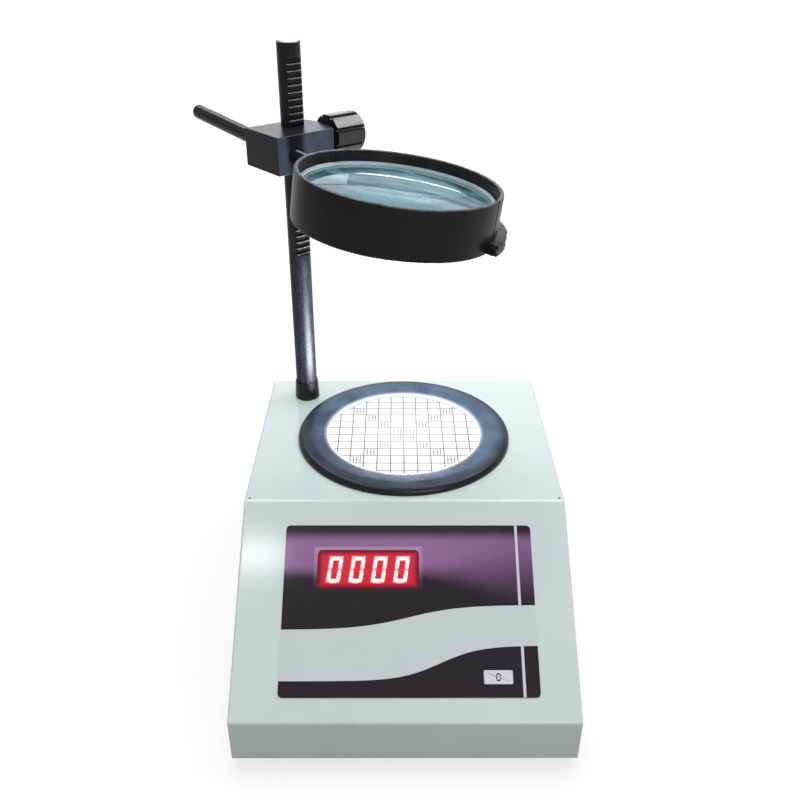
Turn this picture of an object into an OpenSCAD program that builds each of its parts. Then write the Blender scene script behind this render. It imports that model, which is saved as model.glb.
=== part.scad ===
// Digital colony counter: a sloping sheet-steel cabinet with a lit counting disc, a four-digit
// display and a magnifier carried on a rack-and-pinion post.
// Millimetres. +Z is up, the front faces -Y, and the origin is on the bench plane under the
// middle of the cabinet.

/* [Cabinet] */
// Outside width of the cabinet
cabinet_w = 222; // [210:1:260]
// Outside depth of the cabinet
cabinet_d = 292; // [285:1:330]
// Height of the deck above the cabinet's lower edge
cabinet_h = 116.5; // [110:0.5:140]
// Height of the upright front lip
lip_h = 31.7; // [28:0.1:36]
// Plan depth of the sloping front
slope_run = 118.4; // [114:0.1:122]
// Thickness of the cabinet sheet
sheet_t = 1.2; // [0.8:0.1:2]
// Width of the turned-in flanges
flange_w = 12; // [10:0.5:16]
// Radius of the relief holes where the sheet is folded
relief_r = 1; // [0.6:0.1:1.2]
// Distance of the relief holes from the cabinet's sides
relief_inset = 3.6; // [3:0.1:6]
// Distance of the relief holes behind the deck's front edge
relief_back = 2.6; // [2:0.1:5]
// Gap between the tray and the shell
tray_gap = 0.4; // [0.2:0.1:0.8]

/* [Feet and fasteners] */
// Height of the rubber feet
foot_h = 8; // [6:0.5:14]
// Diameter of the rubber feet
foot_d = 20; // [16:1:24]
// Distance of the feet from the cabinet's sides
foot_inset = 26; // [24:1:34]
// Shank diameter of the small screws
screw_d = 3; // [2.5:0.1:3.5]
// Head diameter of the small screws
screw_head_d = 6; // [5:0.1:7]
// Head height of the small screws
screw_head_h = 2; // [1.5:0.1:2.5]
// Gap round a screw in its hole
screw_gap = 0.1; // [0.05:0.01:0.2]

/* [Panel and display] */
// Width of the printed overlay
overlay_w = 166; // [160:1:180]
// Height of the printed overlay along the slope
overlay_l = 112; // [108:1:118]
// Thickness of the overlay film
overlay_t = 0.4; // [0.2:0.1:0.8]
// Corner radius of the overlay
overlay_r = 3; // [1:0.5:6]
// Place of the overlay's middle along X
overlay_x = 2.5; // [-4:0.5:6]
// Distance of the overlay's middle up the slope
overlay_s = 71.5; // [68:0.5:75]
// Width of the display window
window_w = 68; // [64:0.5:74]
// Height of the display window along the slope
window_l = 26; // [24:0.5:30]
// Distance of the window's middle from the overlay's left edge
window_edge = 56; // [52:0.5:60]
// Distance of the window's middle up the slope
window_s = 97.5; // [95:0.5:99]
// Width of the lip round the red filter, behind the sheet
filter_lip = 5; // [3:0.5:6]
// Thickness of the red filter's lip
filter_t = 1.5; // [1:0.1:2.5]
// Corner radius of the window
window_r = 3; // [1:0.5:5]
// Gap round the filter in its window
filter_gap = 0.2; // [0.1:0.05:0.4]
// Height of one digit
digit_h = 17.6; // [14:0.2:19]
// Width of one digit
digit_w = 9; // [8:0.2:10]
// Distance between digits
digit_pitch = 14.9; // [13:0.1:15.4]
// Width of a digit's strokes
stroke_w = 2.4; // [1.6:0.1:2.8]
// Slant of the digits in degrees
digit_slant = 8; // [0:1:10]
// Thickness of the glowing strokes
digit_t = 0.3; // [0.2:0.1:0.5]
// Width of the reset key
key_w = 18.6; // [14:0.2:20]
// Height of the reset key along the slope
key_l = 8.6; // [7:0.2:10]
// Distance of the reset key's middle from the overlay's right edge
key_edge = 26.3; // [24:0.1:30]
// Distance of the reset key up the slope
key_s = 27.8; // [26:0.2:30]
// How far the reset key stands above the overlay
key_rise = 1; // [0.9:0.1:1.6]
// Travel of the reset key
key_travel = 0.8; // [0.5:0.1:0.8]
// Gap round the reset key
key_gap = 0.3; // [0.2:0.05:0.5]

/* [Boards] */
// Length of the pillars behind the sloping front
pillar_h = 12; // [11:0.5:16]
// Diameter of the board pillars
pillar_d = 6; // [5:0.5:7]
// Thickness of the circuit boards
board_t = 1.6; // [1:0.1:2.4]
// Distance of the front board's sides from the overlay's edges
front_board_inset = 7; // [5:0.5:9]
// Height of the front board along the slope
front_board_l = 100; // [98:1:104]
// Distance of the front board's middle up the slope
front_board_s = 66; // [64:0.5:68]
// Distance of a board's pillars from its edges
pillar_inset = 4; // [3.5:0.5:5]
// Width of the power board
power_board_w = 90; // [80:1:96]
// Depth of the power board
power_board_l = 70; // [60:1:80]
// Length of the power board's pillars
power_pillar_h = 8; // [6:0.5:12]
// Width of the lead between the boards
lead_w = 12; // [8:0.5:12]
// Thickness of the lead between the boards
lead_t = 1.2; // [0.8:0.1:1.6]

/* [Counting disc and lamp] */
// Outside diameter of the dark ring
ring_d = 162.3; // [156:0.1:166]
// Opening of the dark ring, where the lit disc shows
ring_opening = 117; // [110:0.5:118]
// Height of the dark ring above the deck
ring_h = 5.4; // [5:0.1:8]
// Radius of the ring's rounded outer edge
ring_edge_r = 3; // [2:0.1:4]
// Distance of the ring's middle from the cabinet's back
ring_from_back = 88; // [86:0.5:94]
// Diameter of the ruled glass disc
glass_d = 124; // [122:0.5:126]
// Thickness of the ruled glass disc
glass_t = 3; // [2:0.5:4]
// Height of the glass surface above the deck
glass_rise = 0.4; // [0:0.1:1]
// Thickness of the opal diffuser
diffuser_t = 3; // [2:0.5:4]
// Diameter of the opening in the deck
deck_hole_d = 132; // [130:0.5:134]
// Gap round the ring's spigot and the discs
ring_gap = 0.3; // [0.2:0.05:0.5]
// Depth of the lamp pan below the diffuser
pan_depth = 34; // [28:1:40]
// Wall of the lamp pan
pan_t = 1; // [0.8:0.1:1.5]
// Diameter of the lamp pan's bowl
pan_d = 114; // [108:1:116]
// Width of one lamp chip
chip_w = 3.5; // [2:0.1:5]

/* [Post and carriage] */
// Diameter of the post
post_d = 16.6; // [16:0.1:17.4]
// Height of the post above the deck
post_h = 278; // [270:1:300]
// Distance of the post from the cabinet's left side
post_from_left = 31; // [28:0.5:33]
// Distance of the post from the cabinet's back
post_from_back = 25; // [24:0.5:28]
// Height of the flared collar at the post's foot
collar_h = 15; // [10:0.5:24]
// Diameter of the flared collar at the deck
collar_d = 19.6; // [19:0.1:26]
// Diameter of the threaded spigot under the post
spigot_d = 12; // [10:0.5:14]
// Turn of the head about the post, from straight back to front, in degrees
head_turn = 40; // [30:1:46]
// Height of the block's middle above the deck
head_z = 208.5; // [190:0.5:220]
// Distance from the post's axis to the block's back face
block_back = 12.4; // [12:0.1:16]
// Distance from the post's axis to the block's front face
block_front = 29.2; // [29:0.1:34]
// Distance from the post's axis to the block's handle side
block_left = 32.4; // [31:0.1:38]
// Distance from the post's axis to the block's knob side
block_right = 14.8; // [14:0.1:18]
// How far the block's knob side bulges out
block_bulge = 5; // [3:0.1:7]
// Height of the block
block_h = 26.2; // [26:0.1:34]
// Radial gap of the running fits
run_gap = 0.05; // [0.02:0.01:0.1]

/* [Rack and pinion] */
// Tooth size, as pitch diameter over number of teeth
tooth_module = 1.5; // [1.45:0.01:1.55]
// Number of pinion teeth
pinion_teeth = 8; // [7:1:9]
// Height of the pinion's axis above the block's middle
pinion_rise = 4.2; // [0:0.1:4.4]
// Pressure angle of the teeth in degrees
tooth_angle = 20; // [20:1:22]
// Play between the teeth along the pitch line
tooth_play = 0.3; // [0.2:0.05:0.5]
// Face width of the pinion
pinion_w = 10; // [8:0.5:12]
// Number of rack gaps above the pinion's place in the photograph
rack_up = 11; // [8:1:11]
// Number of rack gaps below the pinion's place in the photograph
rack_down = 18; // [10:1:20]
// Depth of the flat along the rack
rack_flat = 1.8; // [1.5:0.1:2.2]
// Diameter of the pinion shaft
shaft_d = 6; // [5:0.5:7]
// Diameter of the knob
knob_d = 29; // [24:0.5:32]
// Length of the knob
knob_l = 26; // [18:0.5:30]
// Gap between the block and the knob's inner face
knob_stand = 6.4; // [6:0.1:10]
// Number of knob flutes
knob_flutes = 8; // [6:1:12]
// Radius of a knob flute
flute_r = 1.5; // [1:0.1:2]
// Diameter of the knob's hub
hub_d = 14; // [12:0.5:16]

/* [Magnifier] */
// Diameter of the handle
handle_d = 10.8; // [9:0.1:11]
// Distance of the handle from the post's axis, sideways
handle_side = 17.2; // [17:0.1:18]
// Height of the handle above the block's middle, at the post
handle_rise = -0.2; // [-1.5:0.1:1]
// Downward tilt of the handle towards the lens in degrees
handle_pitch = 4.3; // [0:0.1:5]
// Length of the handle's tail behind the post
tail_l = 109.6; // [90:0.1:130]
// Wall of the handle's friction sleeve
sleeve_t = 1.6; // [1.2:0.1:1.8]
// Thickness of the sleeve's collar
sleeve_collar_t = 1.5; // [1:0.1:2]
// Distance along the handle from the post to the lens's middle
lens_reach = 136; // [125:0.1:150]
// Tip of the lens about its handle in degrees
lens_tip = 6.2; // [0:0.1:12]
// Outside diameter of the lens barrel
barrel_d = 128; // [120:0.5:134]
// Height of the lens barrel
barrel_h = 30.8; // [28:0.1:36]
// Height of the barrel's middle above the handle's axis
barrel_rise = 2; // [0:0.1:4]
// Wall of the lens barrel
barrel_t = 2.7; // [2:0.1:4]
// Depth of the lens's edge below the barrel's rim
lens_depth = 9.6; // [8:0.1:11]
// Edge thickness of the lens
lens_edge_t = 4; // [3:0.1:5]
// Radius of the lens's two surfaces
lens_surface_r = 360; // [300:1:500]
// Gap round the lens in its barrel
lens_gap = 0.2; // [0.1:0.05:0.4]
// Length of the socket that takes the handle
socket_l = 12; // [8:0.5:16]
// Diameter of the socket that takes the handle
socket_d = 16; // [14:0.5:18]
// Angle from the handle's line to the barrel's seam in degrees
seam_angle = 26; // [0:1:60]
// Width of the barrel's seam
seam_w = 1.4; // [0.8:0.1:2]
// How far the clamp lugs stand out of the barrel
lug_out = 6.5; // [6:0.1:9]
// Height of the clamp lugs
lug_h = 7; // [6.5:0.1:10]
// Arc of the long clamp lug in degrees
lug_arc = 40; // [20:1:60]
// Arc of the short clamp lug in degrees
short_lug_arc = 6; // [5:0.5:8]

/* [Rear panel] */
// Height of the sockets and the switch above the tray
rear_z = 40; // [30:1:50]
// Place of the mains inlet along X
inlet_x = 62; // [58:1:66]
// Place of the fuse holder along X
fuse_x = 20; // [16:1:24]
// Place of the power switch along X
switch_x = -16; // [-22:1:-10]
// Place of the pen socket along X
pen_x = -58; // [-64:1:-50]
// Width of the power rocker
rocker_w = 10.6; // [9:0.1:12]
// Length of the power rocker
rocker_l = 16; // [14:0.1:18]
// Tip of the power rocker either way in degrees
rocker_tip = 9; // [6:1:10]
// Bore of the pen socket
pen_bore_d = 6.5; // [6.4:0.1:6.8]
// Depth of the pen socket's bore
pen_bore_l = 20; // [14:1:24]

/* [Hidden] */
$fn = 64;
eps = 0.01;
through = 20;
front_y = -cabinet_d / 2;
back_y = cabinet_d / 2;
base_z = foot_h;
lip_z = foot_h + lip_h;
deck_z = foot_h + cabinet_h;
deck_front_y = front_y + slope_run;
slope_angle = atan2(cabinet_h - lip_h, slope_run);
tray_top_z = base_z + sheet_t;
tray_w = cabinet_w - 2 * sheet_t - 2 * tray_gap;

// Screws that hold the tray, the rear panel and the feet
base_screw_x = cabinet_w / 2 - sheet_t - flange_w / 2;
base_screw_span = cabinet_d / 3;
base_screw_l = 6;
rear_screw_z = deck_z - sheet_t - flange_w / 2;
rear_screw_span = cabinet_w / 4;
foot_screw_d = screw_d + 1;
foot_recess_h = foot_h / 2;
foot_taper = 3;
foot_screw_l = foot_h - foot_recess_h + 4;

// Stack behind the sloping front, measured along its normal
front_board_z = -sheet_t - pillar_h;
filter_back_z = -sheet_t - filter_t;
digit_gap = 0.1;
stroke_gap = 0.2;
housing_top_z = filter_back_z - digit_gap - digit_t;
window_x = overlay_x - overlay_w / 2 + window_edge;
key_x = overlay_x + overlay_w / 2 - key_edge;
front_board_w = overlay_w - 2 * front_board_inset;
housing_w = window_w - 4;
housing_l = window_l - 2;
key_flange = 1.5;
key_flange_t = 1.2;
key_flange_gap = 0.1;
key_stem_d = 5;
tact_w = 6;
tact_h = 4;
tact_button_d = 3.4;
tact_button_h = 1.6;
key_stem_end_z = front_board_z + tact_h + tact_button_h + key_travel + digit_t;
front_pillar_x = front_board_w / 2 - pillar_inset;
front_pillar_s = front_board_l / 2 - pillar_inset;
back_board_z = front_board_z - board_t;

// Power supply on the tray
power_board_x = 48;
power_board_y = 45;
power_board_z = tray_top_z + power_pillar_h;
power_pillar_x = power_board_w / 2 - pillar_inset;
power_pillar_y = power_board_l / 2 - pillar_inset;
core_w = 57;
core_h = 48;
core_t = 24;
core_limb = core_w / 6;
coil_gap = 0.3;
coil_out = 8;
strap_t = 1;
strap_foot = 12;
transformer_x = -52;
transformer_y = 50;
connector_w = lead_w + 2;
connector_l = 6;
connector_h = 8;
lead_x = 20;
lead_front_s = 40;
lead_back_y = power_board_y - power_board_l / 2 + connector_l;
lead_bend = 6;

// Counting disc and lamp, measured from the deck
ring_y = back_y - ring_from_back;
ring_r = ring_d / 2;
ring_inner_rise = 3.6;
glass_r = glass_d / 2;
pocket_r = glass_r + ring_gap;
spigot_r = deck_hole_d / 2 - ring_gap;
spigot_depth = 3;
diffuser_z = glass_rise - glass_t - diffuser_t;
pan_r = pan_d / 2;
pan_step_r = deck_hole_d / 2 + pan_t;
pan_flange_w = 9;
pan_bottom_z = diffuser_z - pan_depth;
ring_screw_r = pan_step_r + pan_flange_w / 2;
ring_screw_grip = 4;
led_board_r = pan_r - pan_t - 2;

// Post and its fixing, with the head's own axes
post_x = -cabinet_w / 2 + post_from_left;
post_y = back_y - post_from_back;
post_r = post_d / 2;
backing_d = 36;
backing_t = 4;
washer_d = 24;
washer_t = 2.5;
nut_w = 18;
nut_h = 9;
spigot_l = sheet_t + backing_t + washer_t + nut_h + 3;
fixed_gap = 0.1;
press_gap = 0.02;
collar_gap = 0.15;

// Teeth
pitch_r = tooth_module * pinion_teeth / 2;
tooth_pitch = PI * tooth_module;
rack_tip_u = post_r - rack_flat;
rack_addendum = tooth_module * 0.43;
rack_pitch_u = rack_tip_u - rack_addendum;
pinion_u = rack_pitch_u + pitch_r;
pinion_addendum = tooth_module * 0.93;
tooth_clearance = tooth_module * 0.23;
rack_root_u = rack_pitch_u - pinion_addendum - tooth_clearance;
base_circle_r = pitch_r * cos(tooth_angle);
pinion_tip_r = pitch_r + pinion_addendum;
pinion_root_r = pitch_r - rack_addendum - tooth_clearance;
pinion_half_angle = (tooth_pitch / 2 - tooth_play) / 2 / pitch_r * 180 / PI;
flank_steps = 5;
hub_gap = 0.4;
pinion_bore_r = pinion_tip_r + 0.5;
block_mid_u = (block_front - block_back) / 2;
block_half_u = (block_front + block_back) / 2;
bulge_r = (pow(block_half_u, 2) + pow(block_bulge, 2)) / 2 / block_bulge;
bush_end = block_right + block_bulge - 1;
hub_start = block_right + block_bulge + hub_gap;
pinion_side_gap = 0.3;
journal_l = 4;
knob_v = block_right + knob_stand;
knob_cap = 4;
grub_d = 3;

// Magnifier
sleeve_r = handle_d / 2 + run_gap + sleeve_t;
sleeve_collar_r = sleeve_r + 2;
sleeve_collar_u = block_back + 1.2;
sleeve_slit = 1.5;
handle_grub_d = 5;
handle_grub_u = block_mid_u;
barrel_r = barrel_d / 2;
barrel_in_r = barrel_r - barrel_t;
barrel_top = barrel_rise + barrel_h / 2;
barrel_bottom = barrel_rise - barrel_h / 2;
lens_top = barrel_top - lens_depth;
lens_r = barrel_in_r - lens_gap;
lens_sag = lens_surface_r - sqrt(pow(lens_surface_r, 2) - pow(lens_r, 2));
ledge_w = 2.6;
ledge_t = 2;
lens_seat = (pow(lens_r, 2) - pow(lens_r - ledge_w, 2)) / 2 / lens_surface_r + fixed_gap;
keeper_h = 2;
tenon_d = 8;
tenon_l = socket_l - 1;
lug_screw_r = barrel_r + lug_out / 2 + 0.5;
lug_screw_z = barrel_bottom + lug_h / 2;
lug_nut_w = 5;
lug_nut_h = 2.2;
lug_seat = 6;

// Rear panel fittings
rear_fit_z = tray_top_z + rear_z;
inlet_flange_w = 50;
inlet_flange_l = 23;
inlet_flange_t = 3;
inlet_body_w = 28;
inlet_body_l = 20;
inlet_body_h = 24;
inlet_well_w = 24.6;
inlet_well_l = 16.6;
inlet_well_h = 17;
inlet_screw_pitch = 40;
inlet_pin_w = 2;
inlet_pin_l = 4;
inlet_pin_pitch = 7;
inlet_pin_out = 14;
inlet_pin_in = 8;
cut_gap = 0.2;
fuse_d = 12.4;
fuse_bore_d = 10.4;
fuse_l = 32;
fuse_end_t = 2;
fuse_flange_d = 17;
fuse_flange_t = 2;
fuse_cap_h = 8;
fuse_slot = 1.5;
fuse_plug_l = 14;
fuse_nut_t = 3;
switch_gap = 0.5;
switch_wall = 1.8;
switch_rim = 2;
switch_rim_t = 2;
switch_depth = 16;
switch_floor = 3;
switch_open_w = rocker_w + 2 * switch_gap;
switch_open_l = rocker_l + 5 * switch_gap;
switch_body_w = switch_open_w + 2 * switch_wall;
switch_body_l = switch_open_l + 2 * switch_wall;
rocker_axis_z = -1.5;
rocker_rise = 5;
rocker_deep = 4;
trunnion_d = 2.4;
trunnion_l = switch_body_w - 1;
pen_thread_d = 9;
pen_body_w = 16;
pen_body_h = pen_bore_l + 3;
pen_out = 4;
pen_nut_d = 13;
pen_nut_h = 2.5;

// Frames

// Local X across, Y up the slope, Z out of the sloping sheet
module on_slope(x, s) {
    translate([0, front_y, lip_z]) rotate([slope_angle, 0, 0]) translate([x, s, 0]) children();
}

// Local Z out of the rear panel
module on_rear(x) {
    translate([x, back_y, rear_fit_z]) rotate([-90, 0, 0]) children();
}

// Local Z up from the deck at the middle of the counting disc
module on_ring() {
    translate([0, ring_y, deck_z]) children();
}

// Local X out of the block's front face, Y towards the knob, origin on the post at the block's middle
module on_head() {
    translate([post_x, post_y, deck_z + head_z]) rotate([0, 0, head_turn - 90]) children();
}

// Local X along the handle towards the lens
module on_handle() {
    on_head() translate([0, -handle_side, handle_rise]) rotate([0, handle_pitch, 0]) children();
}

// Local Z along the lens's axis, origin in the lens's middle on the handle's line
module on_lens() {
    on_handle() rotate([-lens_tip, 0, 0]) translate([lens_reach, 0, 0]) children();
}

// Local Z along the pinion's axis towards the knob, origin in the middle of the pinion
module on_pinion() {
    on_head() translate([pinion_u, 0, pinion_rise]) rotate([-90, 0, 0]) children();
}

// Shared shapes

// Plate with round corners, centred, standing on its local XY plane
module rounded_plate(w, l, r, t) {
    translate([-w / 2 + r, -l / 2, 0]) cube([w - 2 * r, l, t]);
    translate([-w / 2, -l / 2 + r, 0]) cube([w, l - 2 * r, t]);
    for (x = [-1, 1], y = [-1, 1])
        translate([x * (w / 2 - r), y * (l / 2 - r), 0]) cylinder(r = r, h = t);
}

// Box centred in X and Y, standing on its local XY plane
module block(w, l, h) {
    translate([-w / 2, -l / 2, 0]) cube([w, l, h]);
}

// Round-head screw: its head stands on the local XY plane and its shank points down
module screw(d, l, head_d, head_h) {
    slot_w = d / 4;
    slot_l = head_d * 0.6;
    difference() {
        union() {
            cylinder(d = head_d, h = head_h);
            translate([0, 0, -l]) cylinder(d = d, h = l + eps);
        }
        for (turn = [0, 90])
            rotate([0, 0, turn]) translate([0, 0, head_h / 2]) block(slot_l, slot_w, head_h);
    }
}

module small_screw(l) {
    screw(screw_d, l, screw_head_d, screw_head_h);
}

// Clear hole for a screw, through everything near the local XY plane
module screw_hole(d) {
    cylinder(d = d + 2 * screw_gap, h = 2 * through, center = true);
}

// Places

module base_screw_places() {
    for (x = [-1, 1], y = [-1, 0, 1])
        translate([x * base_screw_x, y * base_screw_span, base_z]) rotate([180, 0, 0]) children();
}

module rear_screw_places() {
    for (x = [-1.5, -0.5, 0.5, 1.5])
        translate([x * rear_screw_span, back_y, rear_screw_z]) rotate([-90, 0, 0]) children();
}

module foot_places() {
    for (x = [-1, 1], y = [-1, 1])
        translate([x * (cabinet_w / 2 - foot_inset), y * (cabinet_d / 2 - foot_inset), 0]) children();
}

module ring_screw_places() {
    for (turn = [45:90:315])
        rotate([0, 0, turn]) translate([ring_screw_r, 0, 0]) children();
}

module front_pillar_places() {
    for (x = [-1, 1], s = [-1, 1])
        on_slope(overlay_x + x * front_pillar_x, front_board_s + s * front_pillar_s) children();
}

module power_pillar_places() {
    for (x = [-1, 1], y = [-1, 1])
        translate([power_board_x + x * power_pillar_x, power_board_y + y * power_pillar_y, tray_top_z])
            children();
}

module strap_screw_places() {
    for (x = [-1, 1])
        translate([transformer_x + x * (core_w / 2 + strap_t + strap_foot / 2), transformer_y,
                   tray_top_z + strap_t]) children();
}

// Cabinet

// Solid of the given side outline, across the given width
module side_prism(outline, w) {
    rotate([90, 0, 90]) linear_extrude(height = w, center = true) polygon(outline);
}

module cabinet_shell() {
    inner_lip_z = lip_z + sheet_t * tan(slope_angle) - sheet_t / cos(slope_angle);
    inner_deck_y = front_y
        + (cabinet_h - lip_h - sheet_t + sheet_t / cos(slope_angle)) / tan(slope_angle);
    below_z = base_z - 1;
    behind_y = back_y + 1;
    outer = [[front_y, base_z], [front_y, lip_z], [deck_front_y, deck_z], [back_y, deck_z],
             [back_y, base_z]];
    inner = [[front_y + sheet_t, below_z], [front_y + sheet_t, inner_lip_z],
             [inner_deck_y, deck_z - sheet_t], [behind_y, deck_z - sheet_t], [behind_y, below_z]];
    flange_z = base_z + sheet_t;
    side_flange_l = cabinet_d - 3 * sheet_t - tray_gap;
    color("gainsboro") difference() {
        union() {
            difference() {
                side_prism(outer, cabinet_w);
                side_prism(inner, cabinet_w - 2 * sheet_t);
            }
            for (x = [-1, 1])
                translate([x * (cabinet_w / 2 - sheet_t / 2 - flange_w / 2),
                           front_y + sheet_t / 2 + side_flange_l / 2, flange_z])
                    block(flange_w + sheet_t, side_flange_l, sheet_t);
            translate([0, front_y + sheet_t / 2 + flange_w / 2, flange_z])
                block(cabinet_w - sheet_t, flange_w + sheet_t, sheet_t);
            translate([0, back_y - 1.5 * sheet_t, deck_z - sheet_t - flange_w])
                block(cabinet_w - sheet_t, sheet_t, flange_w + sheet_t / 2);
        }
        on_slope(window_x, window_s) translate([0, 0, -sheet_t - 1])
            rounded_plate(window_w, window_l, window_r, sheet_t + 2);
        on_slope(key_x, key_s)
            translate([0, 0, -sheet_t - 1])
                block(key_w + 2 * key_gap, key_l + 2 * key_gap, sheet_t + 2);
        on_ring() cylinder(d = deck_hole_d, h = 4 * sheet_t, center = true);
        on_ring() ring_screw_places() cylinder(d = screw_d + 2 * screw_gap, h = 4 * sheet_t, center = true);
        translate([post_x, post_y, deck_z])
            cylinder(d = spigot_d + 2 * fixed_gap, h = 4 * sheet_t, center = true);
        base_screw_places() screw_hole(screw_d);
        rear_screw_places()
            translate([0, 0, -2 * sheet_t])
                cylinder(d = screw_d + 2 * screw_gap, h = 6 * sheet_t, center = true);
        for (x = [-1, 1])
            translate([x * (cabinet_w / 2 - relief_inset), deck_front_y + relief_back, deck_z])
                cylinder(r = relief_r, h = 6 * sheet_t, center = true);
    }
}

module chassis_tray() {
    tray_front_y = front_y + sheet_t + tray_gap;
    panel_h = cabinet_h - sheet_t - tray_gap;
    color("lightgray") difference() {
        union() {
            translate([-tray_w / 2, tray_front_y, base_z]) cube([tray_w, back_y - tray_front_y, sheet_t]);
            translate([-tray_w / 2, back_y - sheet_t, base_z]) cube([tray_w, sheet_t, panel_h]);
        }
        base_screw_places() screw_hole(screw_d);
        rear_screw_places() screw_hole(screw_d);
        foot_places() cylinder(d = foot_screw_d + 2 * screw_gap, h = base_z + 2 * sheet_t);
        power_pillar_places() screw_hole(screw_d);
        strap_screw_places() screw_hole(screw_d);
        on_rear(inlet_x) {
            translate([0, 0, -2 * sheet_t])
                block(inlet_body_w + 2 * cut_gap, inlet_body_l + 2 * cut_gap, 4 * sheet_t);
            for (x = [-1, 1])
                translate([x * inlet_screw_pitch / 2, 0, 0]) screw_hole(screw_d);
        }
        on_rear(fuse_x) cylinder(d = fuse_d + 2 * cut_gap, h = 4 * sheet_t, center = true);
        on_rear(switch_x)
            translate([0, 0, -2 * sheet_t])
                block(switch_body_w + 2 * cut_gap, switch_body_l + 2 * cut_gap, 4 * sheet_t);
        on_rear(pen_x) cylinder(d = pen_thread_d + 2 * cut_gap, h = 4 * sheet_t, center = true);
    }
}

module rubber_feet() {
    color("#1c1c1e") foot_places() difference() {
        cylinder(d1 = foot_d - foot_taper, d2 = foot_d, h = foot_h);
        translate([0, 0, -eps]) cylinder(d = foot_d / 2, h = foot_recess_h + eps);
        cylinder(d = foot_screw_d + 2 * screw_gap, h = foot_h + 1);
    }
}

module foot_screws() {
    color("silver") foot_places() translate([0, 0, foot_recess_h]) rotate([180, 0, 0])
        screw(foot_screw_d, foot_screw_l, foot_d / 2 - 2, screw_head_h);
}

module base_screws() {
    color("silver") base_screw_places() small_screw(base_screw_l);
}

module rear_screws() {
    color("silver") rear_screw_places() small_screw(base_screw_l);
}

// Printed panel and display

module panel_overlay() {
    color("#3b2140") difference() {
        on_slope(overlay_x, overlay_s) rounded_plate(overlay_w, overlay_l, overlay_r, overlay_t);
        on_slope(window_x, window_s) translate([0, 0, -1])
            rounded_plate(window_w, window_l, window_r, overlay_t + 2);
        on_slope(key_x, key_s)
            translate([0, 0, -1]) block(key_w + 2 * key_gap, key_l + 2 * key_gap, overlay_t + 2);
    }
}

module display_filter() {
    color("#a01420") on_slope(window_x, window_s) {
        translate([0, 0, filter_back_z])
            block(window_w + 2 * filter_lip, window_l + 2 * filter_lip, filter_t);
        translate([0, 0, -sheet_t - eps])
            rounded_plate(window_w - 2 * filter_gap, window_l - 2 * filter_gap, window_r - filter_gap,
                          sheet_t + eps);
    }
}

// Outline of one stroke: a bar with pointed ends, slanted with its digit
function slanted(p) = [p[0] + p[1] * tan(digit_slant), p[1]];
function stroke(x, y, l, upright) =
    let (a = l / 2 - stroke_gap, b = stroke_w / 2,
         bar = [[-a, 0], [b - a, b], [a - b, b], [a, 0], [a - b, -b], [b - a, -b]])
    [for (p = bar) slanted(upright ? [x + p[1], y + p[0]] : [x + p[0], y + p[1]])];

module digit_strokes() {
    reach_x = (digit_w - stroke_w) / 2;
    reach_y = (digit_h - stroke_w) / 2;
    for (y = [-1, 0, 1])
        polygon(stroke(0, y * reach_y, 2 * reach_x, false));
    for (x = [-1, 1], y = [-1, 1])
        polygon(stroke(x * reach_x, y * reach_y / 2, reach_y, true));
}

module led_digits() {
    color("#ff5040") on_slope(window_x, window_s) translate([0, 0, housing_top_z])
        for (i = [0:3])
            translate([(i - 1.5) * digit_pitch, 0, 0]) linear_extrude(height = digit_t) digit_strokes();
}

module display_housing() {
    color("#281014") on_slope(window_x, window_s) translate([0, 0, front_board_z])
        block(housing_w, housing_l, housing_top_z - front_board_z);
}

module reset_button() {
    flange_top_z = -sheet_t - key_flange_gap;
    color("whitesmoke") on_slope(key_x, key_s) {
        translate([0, 0, flange_top_z - eps]) block(key_w, key_l, overlay_t + key_rise - flange_top_z + eps);
        translate([0, 0, flange_top_z - key_flange_t])
            block(key_w + 2 * key_flange, key_l + 2 * key_flange, key_flange_t);
        translate([0, 0, key_stem_end_z])
            cylinder(d = key_stem_d, h = flange_top_z - key_flange_t - key_stem_end_z + eps);
    }
}

module reset_switch() {
    color("#30302e") on_slope(key_x, key_s) translate([0, 0, front_board_z]) {
        block(tact_w, tact_w, tact_h);
        cylinder(d = tact_button_d, h = tact_h + tact_button_h);
    }
}

// Boards

module front_board() {
    color("#1d5a34") difference() {
        on_slope(overlay_x, front_board_s) translate([0, 0, back_board_z])
            block(front_board_w, front_board_l, board_t);
        front_pillar_places() translate([0, 0, front_board_z]) screw_hole(screw_d);
    }
}

module front_pillars() {
    color("goldenrod") front_pillar_places() translate([0, 0, front_board_z]) difference() {
        cylinder(d = pillar_d, h = pillar_h);
        translate([0, 0, -eps]) cylinder(d = screw_d + 2 * screw_gap, h = base_screw_l);
    }
}

module front_board_screws() {
    color("silver") front_pillar_places() translate([0, 0, back_board_z]) rotate([180, 0, 0])
        small_screw(base_screw_l);
}

module front_components() {
    chip_l = 30;
    chip_h = 4;
    color("#26262a") {
        on_slope(overlay_x - chip_l, front_board_s) translate([0, 0, back_board_z - chip_h])
            block(chip_l, connector_h, chip_h);
        on_slope(lead_x, lead_front_s) translate([0, 0, back_board_z - connector_h])
            block(connector_w, connector_l, connector_h);
    }
}

module buzzer() {
    buzzer_d = 12;
    buzzer_h = 9;
    color("#1a1a1c") on_slope(overlay_x + front_board_w / 4, front_board_s)
        translate([0, 0, back_board_z - buzzer_h]) difference() {
            cylinder(d = buzzer_d, h = buzzer_h);
            translate([0, 0, -eps]) cylinder(d = buzzer_d / 6, h = 2);
        }
}

// Sideways unit vector of a run, and the corner's one between two runs
function across(run) = [-run[1], run[0]] / norm(run);
function corner(a, b) = (across(a) + across(b)) / (1 + across(a) * across(b));

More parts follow.
